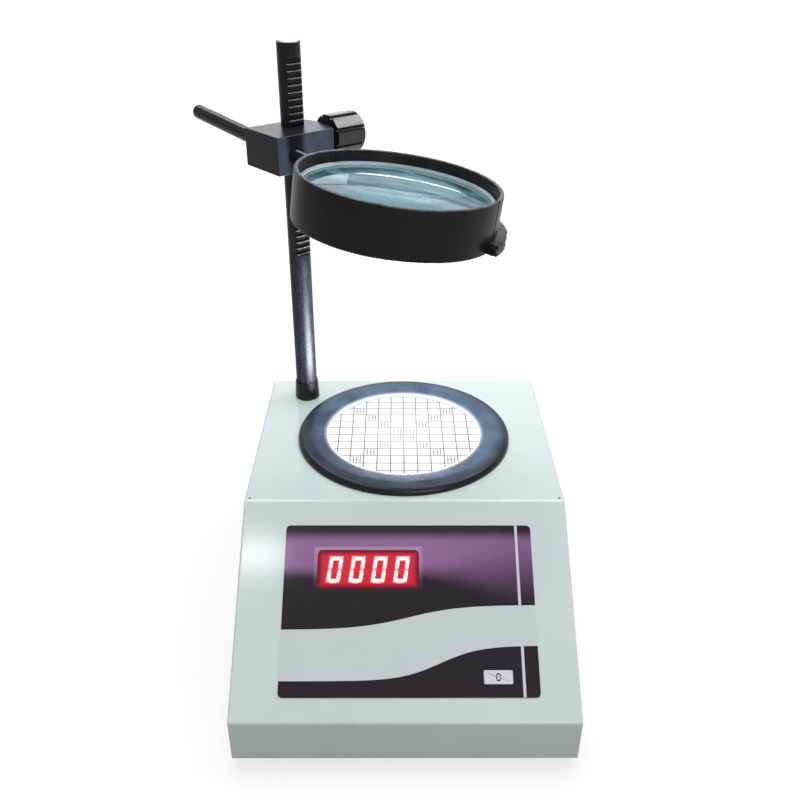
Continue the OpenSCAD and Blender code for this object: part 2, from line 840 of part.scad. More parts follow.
// Flat lead between the boards, with folded bends
module front_lead() {
    out = [sin(slope_angle), -cos(slope_angle)];
    start = [front_y, lip_z] + lead_front_s * [cos(slope_angle), sin(slope_angle)]
        + (connector_h - back_board_z) * out;
    finish = [lead_back_y, power_board_z + board_t + connector_h];
    path = [start, start + lead_bend * out, finish + [0, lead_bend], finish];
    runs = [for (i = [0:2]) path[i + 1] - path[i]];
    turns = [across(runs[0]), corner(runs[0], runs[1]), corner(runs[1], runs[2]), across(runs[2])];
    sides = lead_t / 2 * turns;
    outline = concat([for (i = [0:3]) path[i] + sides[i]], [for (i = [3:-1:0]) path[i] - sides[i]]);
    color("#8a8f96") translate([lead_x, 0, 0]) side_prism(outline, lead_w);
}

module power_board() {
    color("#1d5a34") difference() {
        translate([power_board_x, power_board_y, power_board_z]) block(power_board_w, power_board_l, board_t);
        power_pillar_places() screw_hole(screw_d);
    }
}

module power_pillars() {
    color("goldenrod") power_pillar_places() difference() {
        cylinder(d = pillar_d, h = power_pillar_h);
        translate([0, 0, -eps]) cylinder(d = screw_d + 2 * screw_gap, h = power_pillar_h + 1);
    }
}

module power_board_screws() {
    color("silver") power_pillar_places() translate([0, 0, power_pillar_h + board_t])
        small_screw(power_pillar_h + board_t + sheet_t);
}

module power_components() {
    capacitor_d = 16;
    capacitor_h = 26;
    sink_w = 25;
    sink_h = 18;
    color("#2c3a5c") translate([power_board_x, power_board_y, power_board_z + board_t]) {
        translate([power_board_w / 4, power_board_l / 5, 0]) cylinder(d = capacitor_d, h = capacitor_h);
        translate([-power_board_w / 5, power_board_l / 5, 0]) block(sink_w, connector_l, sink_h);
    }
    color("#26262a") translate([lead_x, lead_back_y, power_board_z + board_t])
        block(connector_w, connector_l, connector_h);
}

// Mains transformer

module at_transformer() {
    translate([transformer_x, transformer_y, tray_top_z]) children();
}

module transformer_core() {
    window_h = core_h - 2 * core_limb;
    color("#6a5a48") at_transformer() difference() {
        block(core_w, core_t, core_h);
        for (x = [-1, 1])
            translate([x * 1.5 * core_limb, 0, core_limb]) block(core_limb, core_t + 2, window_h);
    }
}

module transformer_coil() {
    coil_h = core_h - 2 * core_limb - 2 * coil_gap;
    color("#b5651d") at_transformer() translate([0, 0, core_limb + coil_gap]) difference() {
        block(4 * core_limb - 2 * coil_gap, core_t + 2 * coil_out, coil_h);
        translate([0, 0, -1]) block(2 * core_limb + 2 * coil_gap, core_t + 2 * coil_gap, coil_h + 2);
    }
}

module transformer_strap() {
    strap_w = core_t * 4 / 5;
    color("silver") difference() {
        at_transformer() {
            difference() {
                block(core_w + 2 * strap_t, strap_w, core_h + strap_t);
                translate([0, 0, -1]) block(core_w, strap_w + 2, core_h + 1);
            }
            for (x = [-1, 1])
                translate([x * (core_w / 2 + strap_t / 2 + strap_foot / 2), 0, 0])
                    block(strap_foot + strap_t, strap_w, strap_t);
        }
        strap_screw_places() screw_hole(screw_d);
    }
}

module transformer_screws() {
    color("silver") strap_screw_places() small_screw(base_screw_l);
}

// Counting disc and lamp

module ring_bezel() {
    edge_u = ring_r - ring_edge_r;
    edge_z = ring_h - ring_edge_r;
    round_edge = [for (a = [90:-15:0]) [edge_u + ring_edge_r * cos(a), edge_z + ring_edge_r * sin(a)]];
    color("#20242c") on_ring() difference() {
        rotate_extrude()
            polygon([[ring_opening / 2, glass_rise], [ring_opening / 2, glass_rise + ring_inner_rise],
                     [edge_u - ring_edge_r, ring_h], each round_edge, [ring_r, 0], [spigot_r, 0],
                     [spigot_r, -spigot_depth], [pocket_r, -spigot_depth], [pocket_r, glass_rise]]);
        ring_screw_places()
            translate([0, 0, -1]) cylinder(d = screw_d + 2 * screw_gap, h = ring_screw_grip + 1);
    }
}

module grid_glass() {
    color("white") on_ring() translate([0, 0, glass_rise - glass_t]) cylinder(r = glass_r, h = glass_t);
}

module diffuser() {
    color("#f4f4f0") on_ring() translate([0, 0, diffuser_z]) cylinder(r = glass_r, h = diffuser_t);
}

module lamp_pan() {
    flange_r = pan_step_r + pan_flange_w;
    ledge_z = diffuser_z - pan_t;
    color("white") on_ring() difference() {
        rotate_extrude()
            polygon([[0, pan_bottom_z - pan_t], [pan_r, pan_bottom_z - pan_t], [pan_r, ledge_z],
                     [pan_step_r, ledge_z], [pan_step_r, -sheet_t - pan_t], [flange_r, -sheet_t - pan_t],
                     [flange_r, -sheet_t], [pan_step_r - pan_t, -sheet_t], [pan_step_r - pan_t, diffuser_z],
                     [pan_r - pan_t, diffuser_z], [pan_r - pan_t, pan_bottom_z], [0, pan_bottom_z]]);
        ring_screw_places() cylinder(d = screw_d + 2 * screw_gap, h = 6 * sheet_t, center = true);
    }
}

module led_board() {
    color("whitesmoke") on_ring() translate([0, 0, pan_bottom_z]) cylinder(r = led_board_r, h = board_t);
}

module lamp_leds() {
    chip_h = 1;
    chip_ring_pitch = led_board_r / 3.5;
    color("#fff2c0") on_ring() translate([0, 0, pan_bottom_z + board_t]) {
        block(chip_w, chip_w, chip_h);
        for (ring = [1:3], i = [0:6 * ring - 1])
            rotate([0, 0, i * 60 / ring]) translate([ring * chip_ring_pitch, 0, 0])
                block(chip_w, chip_w, chip_h);
    }
}

module ring_screws() {
    color("silver") on_ring() ring_screw_places() translate([0, 0, -sheet_t - pan_t]) rotate([180, 0, 0])
        small_screw(sheet_t + pan_t + ring_screw_grip - 1);
}

// Post

// Gap between two rack teeth, cut across the post
module rack_gap() {
    half_pitch_w = tooth_pitch / 4;
    beyond_u = rack_tip_u + rack_flat + 1;
    root_w = half_pitch_w - (rack_pitch_u - rack_root_u) * tan(tooth_angle);
    beyond_w = half_pitch_w + (beyond_u - rack_pitch_u) * tan(tooth_angle);
    rotate([90, 0, 0]) linear_extrude(height = post_d + 2, center = true)
        polygon([[rack_root_u, -root_w], [rack_root_u, root_w], [beyond_u, beyond_w], [beyond_u, -beyond_w]]);
}

module post() {
    end_chamfer = 1;
    mesh_z = head_z + pinion_rise;
    flat_bottom = mesh_z - (rack_down + 0.5) * tooth_pitch;
    flat_top = mesh_z + (rack_up + 0.5) * tooth_pitch;
    color("#1a1b1e") translate([post_x, post_y, deck_z]) rotate([0, 0, head_turn - 90]) difference() {
        union() {
            cylinder(d = post_d, h = post_h - end_chamfer);
            translate([0, 0, post_h - end_chamfer - eps])
                cylinder(d1 = post_d, d2 = post_d - 2 * end_chamfer, h = end_chamfer + eps);
            translate([0, 0, -spigot_l]) cylinder(d = spigot_d, h = spigot_l + eps);
        }
        translate([rack_tip_u, -post_d / 2, flat_bottom]) cube([post_d, post_d, flat_top - flat_bottom]);
        for (i = [-rack_down:rack_up])
            translate([0, 0, mesh_z + i * tooth_pitch]) rack_gap();
    }
}

module at_post_foot() {
    translate([post_x, post_y, deck_z]) children();
}

module post_collar() {
    straight_h = collar_h / 4;
    color("#1a1b1e") at_post_foot() difference() {
        union() {
            cylinder(d = collar_d, h = straight_h);
            translate([0, 0, straight_h - eps])
                cylinder(d1 = collar_d, d2 = post_d + 4 * collar_gap + 1, h = collar_h - straight_h + eps);
        }
        translate([0, 0, -1]) cylinder(d = post_d + 2 * collar_gap, h = collar_h + 2);
    }
}

module post_backing_plate() {
    color("dimgray") at_post_foot() translate([0, 0, -sheet_t - backing_t]) difference() {
        cylinder(d = backing_d, h = backing_t);
        translate([0, 0, -1]) cylinder(d = spigot_d + 2 * fixed_gap, h = backing_t + 2);
    }
}

module post_washer() {
    color("silver") at_post_foot() translate([0, 0, -sheet_t - backing_t - washer_t]) difference() {
        cylinder(d = washer_d, h = washer_t);
        translate([0, 0, -1]) cylinder(d = spigot_d + 2 * fixed_gap, h = washer_t + 2);
    }
}

module post_nut() {
    color("silver") at_post_foot() translate([0, 0, -sheet_t - backing_t - washer_t - nut_h]) difference() {
        cylinder(d = nut_w / cos(30), h = nut_h, $fn = 6);
        translate([0, 0, -1]) cylinder(d = spigot_d + 2 * fixed_gap, h = nut_h + 2);
    }
}

// Carriage

module post_bore() {
    on_head() cylinder(d = post_d + 2 * run_gap, h = block_h + 2, center = true);
}

module carriage_block() {
    color("#24262e") difference() {
        on_head() {
            translate([-block_back, -block_left, -block_h / 2])
                cube([2 * block_half_u, block_left + block_right, block_h]);
            intersection() {
                translate([-block_back, 0, -block_h / 2])
                    cube([2 * block_half_u, block_right + block_bulge, block_h]);
                translate([block_mid_u, block_right + block_bulge - bulge_r, 0])
                    cylinder(r = bulge_r, h = block_h, center = true);
            }
        }
        post_bore();
        on_pinion() translate([0, 0, -pinion_w / 2 - pinion_side_gap])
            cylinder(r = pinion_bore_r, h = bush_end + pinion_w);
        on_pinion() translate([0, 0, -pinion_w / 2 - journal_l - pinion_side_gap])
            cylinder(d = shaft_d + 2 * run_gap, h = journal_l + 1);
        on_handle() rotate([0, 90, 0])
            cylinder(r = sleeve_r + run_gap, h = 6 * block_half_u, center = true);
        on_head() translate([handle_grub_u, -handle_side, -block_h / 2 - 1])
            cylinder(d = handle_grub_d + 2 * screw_gap, h = block_h / 2);
    }
}

// Bush of the pinion shaft, bored through with the block where the post passes
module pinion_bush() {
    start = pinion_w / 2 + pinion_side_gap;
    color("#b89b52") difference() {
        on_pinion() translate([0, 0, start]) difference() {
            cylinder(r = pinion_bore_r - press_gap, h = bush_end - start);
            translate([0, 0, -1]) cylinder(d = shaft_d + 2 * run_gap, h = bush_end + 2);
        }
        post_bore();
    }
}

// Involute flank: the turn from the tooth's middle at a given radius
function flank_turn(a) = (tan(a) * 180 / PI) - a;
function flank_angle(r) = pinion_half_angle + flank_turn(tooth_angle) - flank_turn(acos(base_circle_r / r));
function polar(r, a) = [r * cos(a), r * sin(a)];
flank_radii = [for (i = [0:flank_steps]) base_circle_r + (pinion_tip_r - base_circle_r) * i / flank_steps];
function tooth_outline(a) = concat(
    [polar(pinion_root_r, a - flank_angle(base_circle_r))],
    [for (r = flank_radii) polar(r, a - flank_angle(r))],
    [for (i = [flank_steps:-1:0]) polar(flank_radii[i], a + flank_angle(flank_radii[i]))],
    [polar(pinion_root_r, a + flank_angle(base_circle_r))]);

module pinion() {
    // One tooth points at the rack
    first_tooth = 180;
    outline = [for (i = [0:pinion_teeth - 1]) each tooth_outline(first_tooth + i * 360 / pinion_teeth)];
    color("#b89b52") on_pinion() difference() {
        linear_extrude(height = pinion_w, center = true) polygon(outline);
        cylinder(d = shaft_d + 2 * press_gap, h = pinion_w + 2, center = true);
    }
}

module pinion_shaft() {
    start = -pinion_w / 2 - journal_l;
    color("silver") on_pinion() translate([0, 0, start])
        cylinder(d = shaft_d, h = knob_v + knob_l - knob_cap - start);
}

// Line of the grub screw in the knob's skirt, local Z outwards from the shaft
module knob_grub_line() {
    on_pinion() translate([0, 0, knob_v + knob_l / 2]) rotate([0, 90, 0]) children();
}

module focus_knob() {
    edge = 1.2;
    color("#1b1c20") difference() {
        on_pinion() {
            translate([0, 0, knob_v]) cylinder(d1 = knob_d - edge, d2 = knob_d, h = edge);
            translate([0, 0, knob_v + edge - eps]) cylinder(d = knob_d, h = knob_l - 2 * edge + 2 * eps);
            translate([0, 0, knob_v + knob_l - edge]) cylinder(d1 = knob_d, d2 = knob_d - 2 * edge, h = edge);
            translate([0, 0, hub_start]) cylinder(d = hub_d, h = knob_v - hub_start + eps);
        }
        on_pinion() {
            translate([0, 0, hub_start - 1])
                cylinder(d = shaft_d + 2 * press_gap, h = knob_v + knob_l - knob_cap - hub_start + 1);
            for (i = [0:knob_flutes - 1])
                rotate([0, 0, (i + 0.5) * 360 / knob_flutes]) translate([knob_d / 2, 0, knob_v - 1])
                    cylinder(r = flute_r, h = knob_l + 2, $fn = 24);
        }
        knob_grub_line() cylinder(d = grub_d + 2 * screw_gap, h = knob_d);
    }
}

module knob_grub_screw() {
    grub_l = 6;
    color("#2a2a2c") knob_grub_line() translate([0, 0, shaft_d / 2 + screw_gap]) difference() {
        cylinder(d = grub_d, h = grub_l);
        translate([0, 0, grub_l - 2]) cylinder(d = grub_d / 2, h = 3, $fn = 6);
    }
}

// Magnifier

module handle_sleeve() {
    color("#1c1c1e") on_handle() difference() {
        rotate([0, 90, 0]) {
            translate([0, 0, -sleeve_collar_u]) cylinder(r = sleeve_r, h = sleeve_collar_u + block_front);
            translate([0, 0, -sleeve_collar_u - sleeve_collar_t])
                cylinder(r = sleeve_collar_r, h = sleeve_collar_t + eps);
        }
        rotate([0, 90, 0]) cylinder(d = handle_d + 2 * run_gap, h = 4 * block_front, center = true);
        translate([-2 * block_front, -sleeve_slit / 2, 0])
            cube([4 * block_front, sleeve_slit, sleeve_collar_r + 1]);
    }
}

module handle_grub_screw() {
    top = handle_rise - handle_grub_u * tan(handle_pitch) - (sleeve_r + run_gap) / cos(handle_pitch)
        - handle_grub_d / 2 * tan(handle_pitch) - screw_gap;
    grub_l = top + block_h / 2;
    color("#2a2a2c") on_head() translate([handle_grub_u, -handle_side, -block_h / 2]) difference() {
        cylinder(d = handle_grub_d, h = grub_l);
        translate([0, 0, -1]) cylinder(d = handle_grub_d / 2, h = 1 + grub_l / 2, $fn = 6);
    }
}

module lens_handle() {
    front = -barrel_r - socket_l;
    tail = -lens_reach - tail_l + handle_d / 2;
    color("#17181b") on_lens() rotate([0, 90, 0]) {
        translate([0, 0, tail]) cylinder(d = handle_d, h = front - tail);
        translate([0, 0, tail]) sphere(d = handle_d);
        translate([0, 0, front - eps]) cylinder(d = tenon_d - 2 * fixed_gap, h = tenon_l + eps);
    }
}

// Ring segment round the lens's axis
module arc_bar(r1, r2, z, h, from, arc) {
    translate([0, 0, z]) rotate([0, 0, from]) rotate_extrude(angle = arc)
        translate([r1, 0]) square([r2 - r1, h]);
}

module lens_barrel() {
    seam_half = asin(seam_w / 2 / barrel_r);
    ledge_z = lens_top - lens_edge_t - lens_seat - ledge_t;
    color("#141518") on_lens() difference() {
        union() {
            translate([0, 0, barrel_bottom]) cylinder(r = barrel_r, h = barrel_h, $fn = 128);
            rotate([0, 90, 0]) translate([0, 0, -barrel_r - socket_l])
                cylinder(d = socket_d, h = socket_l + barrel_t);
            arc_bar(barrel_r - barrel_t / 2, barrel_r + lug_out, barrel_bottom, lug_h, seam_angle, lug_arc);
            arc_bar(barrel_r - barrel_t / 2, barrel_r + lug_out, barrel_bottom, lug_h,
                    seam_angle - short_lug_arc, short_lug_arc);
        }
        translate([0, 0, ledge_z + ledge_t]) cylinder(r = barrel_in_r, h = barrel_h, $fn = 128);
        translate([0, 0, barrel_bottom - 1])
            cylinder(r = barrel_in_r, h = ledge_z - barrel_bottom + 1, $fn = 128);
        translate([0, 0, ledge_z - 1]) cylinder(r = barrel_in_r - ledge_w, h = ledge_t + 2, $fn = 128);
        rotate([0, 90, 0]) translate([0, 0, -barrel_r - socket_l - 1])
            cylinder(d = tenon_d, h = socket_l + 1);
        rotate([0, 0, seam_angle])
            translate([barrel_r - 2 * barrel_t - ledge_w, -seam_w / 2, barrel_bottom - 1])
                cube([3 * lug_out + 2 * barrel_t, seam_w, barrel_h + 2]);
        lug_screw_line() cylinder(d = screw_d + 2 * screw_gap, h = barrel_r, center = true);
        lug_screw_line() translate([0, 0, lug_seat]) cylinder(d = screw_head_d + 1, h = barrel_r);
    }
}

// Line of the clamp screw across the seam, local Z from the short lug to the long one
module lug_screw_line() {
    rotate([0, 0, seam_angle]) translate([lug_screw_r, 0, lug_screw_z]) rotate([-90, 0, 0]) children();
}

module barrel_clamp_screw() {
    short_l = lug_screw_r * tan(short_lug_arc) + 0.5;
    color("#2a2a2c") on_lens() {
        lug_screw_line() translate([0, 0, -short_l]) rotate([180, 0, 0])
            screw(screw_d, short_l + lug_seat + lug_nut_h + 1, screw_head_d - 1, screw_head_h);
        lug_screw_line() translate([0, 0, lug_seat]) difference() {
            cylinder(d = lug_nut_w / cos(30), h = lug_nut_h, $fn = 6);
            translate([0, 0, -1]) cylinder(d = screw_d + 2 * screw_gap, h = lug_nut_h + 2);
        }
    }
}

module lens() {
    half = lens_edge_t / 2;
    color("lightcyan") on_lens() translate([0, 0, lens_top - half]) intersection() {
        cylinder(r = lens_r, h = lens_edge_t + 3 * lens_sag, center = true, $fn = 128);
        translate([0, 0, half + lens_sag - lens_surface_r]) sphere(r = lens_surface_r, $fn = 256);
        translate([0, 0, lens_surface_r - half - lens_sag]) sphere(r = lens_surface_r, $fn = 256);
    }
}

module lens_retaining_ring() {
    color("#141518") on_lens() translate([0, 0, lens_top + lens_seat]) difference() {
        cylinder(r = lens_r, h = keeper_h, $fn = 128);
        translate([0, 0, -1]) cylinder(r = lens_r - ledge_w, h = keeper_h + 2, $fn = 128);
    }
}

// Rear panel fittings

module inlet_pin_places() {
    for (p = [[-1, 0.5], [1, 0.5], [0, -0.5]])
        translate([p[0] * inlet_pin_pitch, p[1] * inlet_pin_l, 0]) children();
}

module mains_inlet() {
    color("#1a1a1c") on_rear(inlet_x) difference() {
        union() {
            rounded_plate(inlet_flange_w, inlet_flange_l, overlay_r, inlet_flange_t);
            translate([0, 0, -inlet_body_h]) block(inlet_body_w, inlet_body_l, inlet_body_h + eps);
        }
        translate([0, 0, inlet_flange_t - inlet_well_h]) block(inlet_well_w, inlet_well_l, inlet_well_h + 1);
        inlet_pin_places() translate([0, 0, -2 * inlet_body_h])
            block(inlet_pin_w + 2 * press_gap, inlet_pin_l + 2 * press_gap, 2 * inlet_body_h);
        for (x = [-1, 1])
            translate([x * inlet_screw_pitch / 2, 0, 0]) screw_hole(screw_d);
    }
}

module inlet_pins() {
    pin_end = inlet_flange_t - inlet_well_h + inlet_pin_out;
    color("silver") on_rear(inlet_x) inlet_pin_places()
        translate([0, 0, -inlet_body_h - inlet_pin_in])
            block(inlet_pin_w, inlet_pin_l, inlet_pin_in + inlet_body_h + pin_end);
}

module inlet_screws() {
    color("silver") on_rear(inlet_x)
        for (x = [-1, 1])
            translate([x * inlet_screw_pitch / 2, 0, inlet_flange_t])
                small_screw(inlet_flange_t + base_screw_l);
}

module fuse_holder() {
    color("#1a1a1c") on_rear(fuse_x) difference() {
        union() {
            cylinder(d = fuse_flange_d, h = fuse_flange_t);
            translate([0, 0, -fuse_l]) cylinder(d = fuse_d, h = fuse_l + eps);
        }
        translate([0, 0, fuse_end_t - fuse_l]) cylinder(d = fuse_bore_d, h = fuse_l + fuse_flange_t);
    }
}

module panel_nuts() {
    color("#26262a") {
        on_rear(fuse_x) translate([0, 0, -sheet_t - fuse_nut_t]) difference() {
            cylinder(d = fuse_flange_d / cos(30), h = fuse_nut_t, $fn = 6);
            translate([0, 0, -1]) cylinder(d = fuse_d + 2 * fixed_gap, h = fuse_nut_t + 2);
        }
        on_rear(pen_x) difference() {
            cylinder(d = pen_nut_d / cos(30), h = pen_nut_h, $fn = 6);
            translate([0, 0, -1]) cylinder(d = pen_thread_d + 2 * fixed_gap, h = pen_nut_h + 2);
        }
    }
}

module fuse_cap() {
    color("#26262a") on_rear(fuse_x) translate([0, 0, fuse_flange_t]) difference() {
        union() {
            cylinder(d = fuse_d, h = fuse_cap_h);
            translate([0, 0, -fuse_plug_l]) cylinder(d = fuse_bore_d - 2 * fixed_gap, h = fuse_plug_l + eps);
        }
        translate([0, 0, fuse_cap_h - fuse_slot]) block(fuse_d + 2, fuse_slot, fuse_slot + 1);
    }
}

module power_switch_frame() {
    color("#1a1a1c") on_rear(switch_x) difference() {
        union() {
            block(switch_body_w + 2 * switch_rim, switch_body_l + 2 * switch_rim, switch_rim_t);
            translate([0, 0, -switch_depth]) block(switch_body_w, switch_body_l, switch_depth + eps);
        }
        translate([0, 0, -switch_depth + switch_floor])
            block(switch_open_w, switch_open_l, switch_depth + switch_rim_t);
        translate([0, 0, rocker_axis_z]) rotate([0, 90, 0])
            cylinder(d = trunnion_d + 2 * run_gap, h = trunnion_l + 2 * cut_gap, center = true);
    }
}

module power_rocker() {
    half = rocker_l / 2;
    dish = 1.2;
    root = half * 0.9;
    outline = [[half, rocker_rise], [0, rocker_rise - dish], [-half, rocker_rise],
               [-root, -rocker_deep], [root, -rocker_deep]];
    color("#c01822") on_rear(switch_x) translate([0, 0, rocker_axis_z]) rotate([rocker_tip, 0, 0]) {
        rotate([90, 0, 90]) linear_extrude(height = rocker_w, center = true) polygon(outline);
        rotate([0, 90, 0]) cylinder(d = trunnion_d, h = trunnion_l, center = true);
    }
}

module pen_socket() {
    color("#1a1a1c") on_rear(pen_x) difference() {
        union() {
            translate([0, 0, -sheet_t - pen_body_h]) block(pen_body_w, pen_body_w, pen_body_h);
            translate([0, 0, -sheet_t - eps]) cylinder(d = pen_thread_d, h = sheet_t + pen_out + eps);
        }
        translate([0, 0, pen_out - pen_bore_l]) cylinder(d = pen_bore_d, h = pen_bore_l + 1);
    }
}

cabinet_shell();
chassis_tray();
rubber_feet();
foot_screws();
base_screws();
rear_screws();
panel_overlay();
display_filter();
led_digits();
display_housing();
reset_button();
reset_switch();
front_board();
front_pillars();
front_board_screws();
front_components();
buzzer();
front_lead();
power_board();
power_pillars();
power_board_screws();
power_components();
transformer_core();
transformer_coil();
transformer_strap();
transformer_screws();
ring_bezel();
grid_glass();
diffuser();
lamp_pan();
led_board();
lamp_leds();
ring_screws();
post();
post_collar();
post_backing_plate();
post_washer();
post_nut();
carriage_block();
pinion_bush();
pinion();
pinion_shaft();
focus_knob();
knob_grub_screw();
handle_sleeve();
handle_grub_screw();
lens_handle();
lens_barrel();
lens();
lens_retaining_ring();
barrel_clamp_screw();
mains_inlet();
inlet_pins();
inlet_screws();
fuse_holder();
panel_nuts();
fuse_cap();
power_switch_frame();
power_rocker();
pen_socket();
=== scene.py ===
# %% [markdown]
# # A colony counter, from bare solids to a finished picture
# The imported CAD model is the frame of this lesson. It gives every piece its place, its size and the body that
# it moves with. We load it first and never move or reshape it: a piece whose form is too plain is modelled
# anew in the same place and stands in for the solid.

# %% Load the frame
import math

import bmesh
import bpy
from mathutils import Matrix, Vector


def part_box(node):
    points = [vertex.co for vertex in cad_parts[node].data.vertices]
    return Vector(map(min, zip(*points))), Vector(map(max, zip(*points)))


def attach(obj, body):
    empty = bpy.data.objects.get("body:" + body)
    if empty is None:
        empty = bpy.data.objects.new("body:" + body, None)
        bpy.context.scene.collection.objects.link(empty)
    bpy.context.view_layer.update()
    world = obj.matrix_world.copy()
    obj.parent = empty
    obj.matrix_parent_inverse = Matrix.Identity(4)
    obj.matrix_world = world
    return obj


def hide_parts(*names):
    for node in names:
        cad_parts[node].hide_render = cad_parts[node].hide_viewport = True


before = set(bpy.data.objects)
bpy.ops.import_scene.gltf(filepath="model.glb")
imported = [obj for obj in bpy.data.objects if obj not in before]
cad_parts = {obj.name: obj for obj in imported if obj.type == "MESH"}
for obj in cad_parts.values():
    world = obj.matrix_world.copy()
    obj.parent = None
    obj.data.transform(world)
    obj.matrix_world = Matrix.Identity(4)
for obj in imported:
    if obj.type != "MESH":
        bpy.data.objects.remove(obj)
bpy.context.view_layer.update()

MM = 0.001
parts = dict(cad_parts)

# %% [markdown]
# ## Places on the object
# The counter has places of its own: on the sloping front, the lit disc, the post, the sliding head and the
# lens. Each is a matrix, so a piece can be drawn flat at the origin in millimetres and then be put in place
# in one step. Most distances are read from the boxes of the solids; turns that a box doesn't show are named.

# %% Places


def shift(x, y, z):
    return Matrix.Translation(Vector((x, y, z)) * MM)


def turn(angle, axis):
    return Matrix.Rotation(math.radians(angle), 4, axis)


def middle(node):
    """The middle of a solid's box, in millimetres."""
    low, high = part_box(node)
    return (low + high) / 2 / MM


def tenth(*values):
    """Millimetres to one decimal, which is how the solids were drawn."""
    return [round(v, 1) for v in values]


shell_low, shell_high = (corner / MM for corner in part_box("cabinet_shell"))
WIDTH, DEPTH, HEIGHT = tenth(*(shell_high - shell_low))
FOOT, DECK = tenth(shell_low.z, shell_high.z)
LIP, SHEET, DECK_FRONT = 31.7, 1.2, -27.6
FRONT = -DEPTH / 2
SLOPE = math.degrees(math.atan2(HEIGHT - LIP, DECK_FRONT - FRONT))
whole = Matrix.Identity(4)
slope = shift(0, FRONT, FOOT + LIP) @ turn(SLOPE, "X")


def on_slope(node):
    """The place on the sloping front that lies under the middle of a solid."""
    across, up, _ = slope.inverted() @ (middle(node) * MM) / MM
    return slope @ shift(*tenth(across, up), 0)


film, window = on_slope("panel_overlay"), on_slope("display_filter")
KEY_X, KEY_UP = 59.2, 27.8
key_place = slope @ shift(KEY_X, KEY_UP, 0)
disc = shift(*tenth(*middle("grid_glass").xy), DECK)

HEAD_TURN = -50
POST_X, POST_Y = tenth(*middle("post").xy)
HEAD_Z = round(middle("carriage_block").z, 1)
post_place = shift(POST_X, POST_Y, DECK) @ turn(HEAD_TURN, "Z")
head = shift(POST_X, POST_Y, HEAD_Z) @ turn(HEAD_TURN, "Z")
HANDLE_V, HANDLE_Z, HANDLE_DIP = -17.2, -0.2, 4.3
handle = head @ shift(0, HANDLE_V, HANDLE_Z) @ turn(HANDLE_DIP, "Y")
LENS_ROLL, LENS_REACH = -6.2, 136
lens_place = handle @ turn(LENS_ROLL, "X") @ shift(LENS_REACH, 0, 0)
DRIVE_U, DRIVE_Z = 11.855, 4.2
drive = head @ shift(DRIVE_U, 0, DRIVE_Z) @ turn(-90, "X")
print("slope of the front:", round(SLOPE, 2), "degrees")

# %% [markdown]
# ## Hands for modelling
# Modelling by hand is: draw an outline, spin it or raise it, round its edges, cut holes. Each of these is one
# small function round Blender's own operators. Operators act on whatever is selected, so `fresh` clears the
# selection first, and `choose` selects faces or edges in code by their place or normal.

# %% Hands for modelling


def fresh():
    """Leave edit mode and select nothing."""
    if bpy.context.object and bpy.context.object.mode != "OBJECT":
        bpy.ops.object.mode_set(mode="OBJECT")
    bpy.ops.object.select_all(action="DESELECT")


def take(piece):
    """Make this piece the only one that operators act on."""
    fresh()
    piece.select_set(True)
    bpy.context.view_layer.objects.active = piece


def choose(kind, test):
    """In edit mode, select only the faces or edges that pass a test."""
    bpy.ops.mesh.select_mode(type={"faces": "FACE", "edges": "EDGE"}[kind])
    bpy.ops.mesh.select_all(action="DESELECT")
    mesh = bmesh.from_edit_mesh(bpy.context.object.data)
    mesh.normal_update()
    for item in getattr(mesh, kind):
        if test(item):
            item.select_set(True)
    mesh.select_flush_mode()
    bmesh.update_edit_mesh(bpy.context.object.data)


def wire(name, points):
    """Draw a row of points, in millimetres, by extruding one point again and again; stays in edit mode."""
    fresh()
    bpy.ops.mesh.primitive_plane_add(size=MM, location=(0, 0, 0))
    piece = bpy.context.object
    piece.name = piece.data.name = name
    bpy.ops.object.mode_set(mode="EDIT")
    bpy.ops.mesh.select_mode(type="VERT")
    bpy.ops.mesh.select_all(action="SELECT")
    bpy.ops.mesh.merge(type="CENTER")
    spots = [Vector(p) * MM for p in points]
    bpy.ops.transform.translate(value=spots[0])
    for here, there in zip(spots, spots[1:]):
        bpy.ops.mesh.extrude_vertices_move(TRANSFORM_OT_translate={"value": there - here})
    bpy.ops.mesh.select_all(action="SELECT")
    return piece


def turned(name, outline, steps=128):
    """Spin an outline of (radius, height) points round Z, as on a lathe."""
    piece = wire(name, [(r, 0, z) for r, z in outline])
    bpy.ops.mesh.spin(steps=steps, angle=2 * math.pi, center=(0, 0, 0), axis=(0, 0, 1))
    bpy.ops.mesh.select_all(action="SELECT")
    bpy.ops.mesh.remove_doubles(threshold=1e-6)
    bpy.ops.mesh.normals_make_consistent(inside=False)
    fresh()
    return piece


def slab(name, outline, low, high):
    """Fill an outline of (x, y) points and raise it from one height to another."""
    piece = wire(name, [(x, y, low) for x, y in outline])
    bpy.ops.mesh.edge_face_add()
    bpy.ops.mesh.extrude_region_move(TRANSFORM_OT_translate={"value": (0, 0, (high - low) * MM)})
    bpy.ops.mesh.select_all(action="SELECT")
    bpy.ops.mesh.normals_make_consistent(inside=False)
    fresh()
    return piece


def rod(radius, low, high, steps=96):
    return turned("rod", [(0, low), (radius, low), (radius, high), (0, high)], steps)


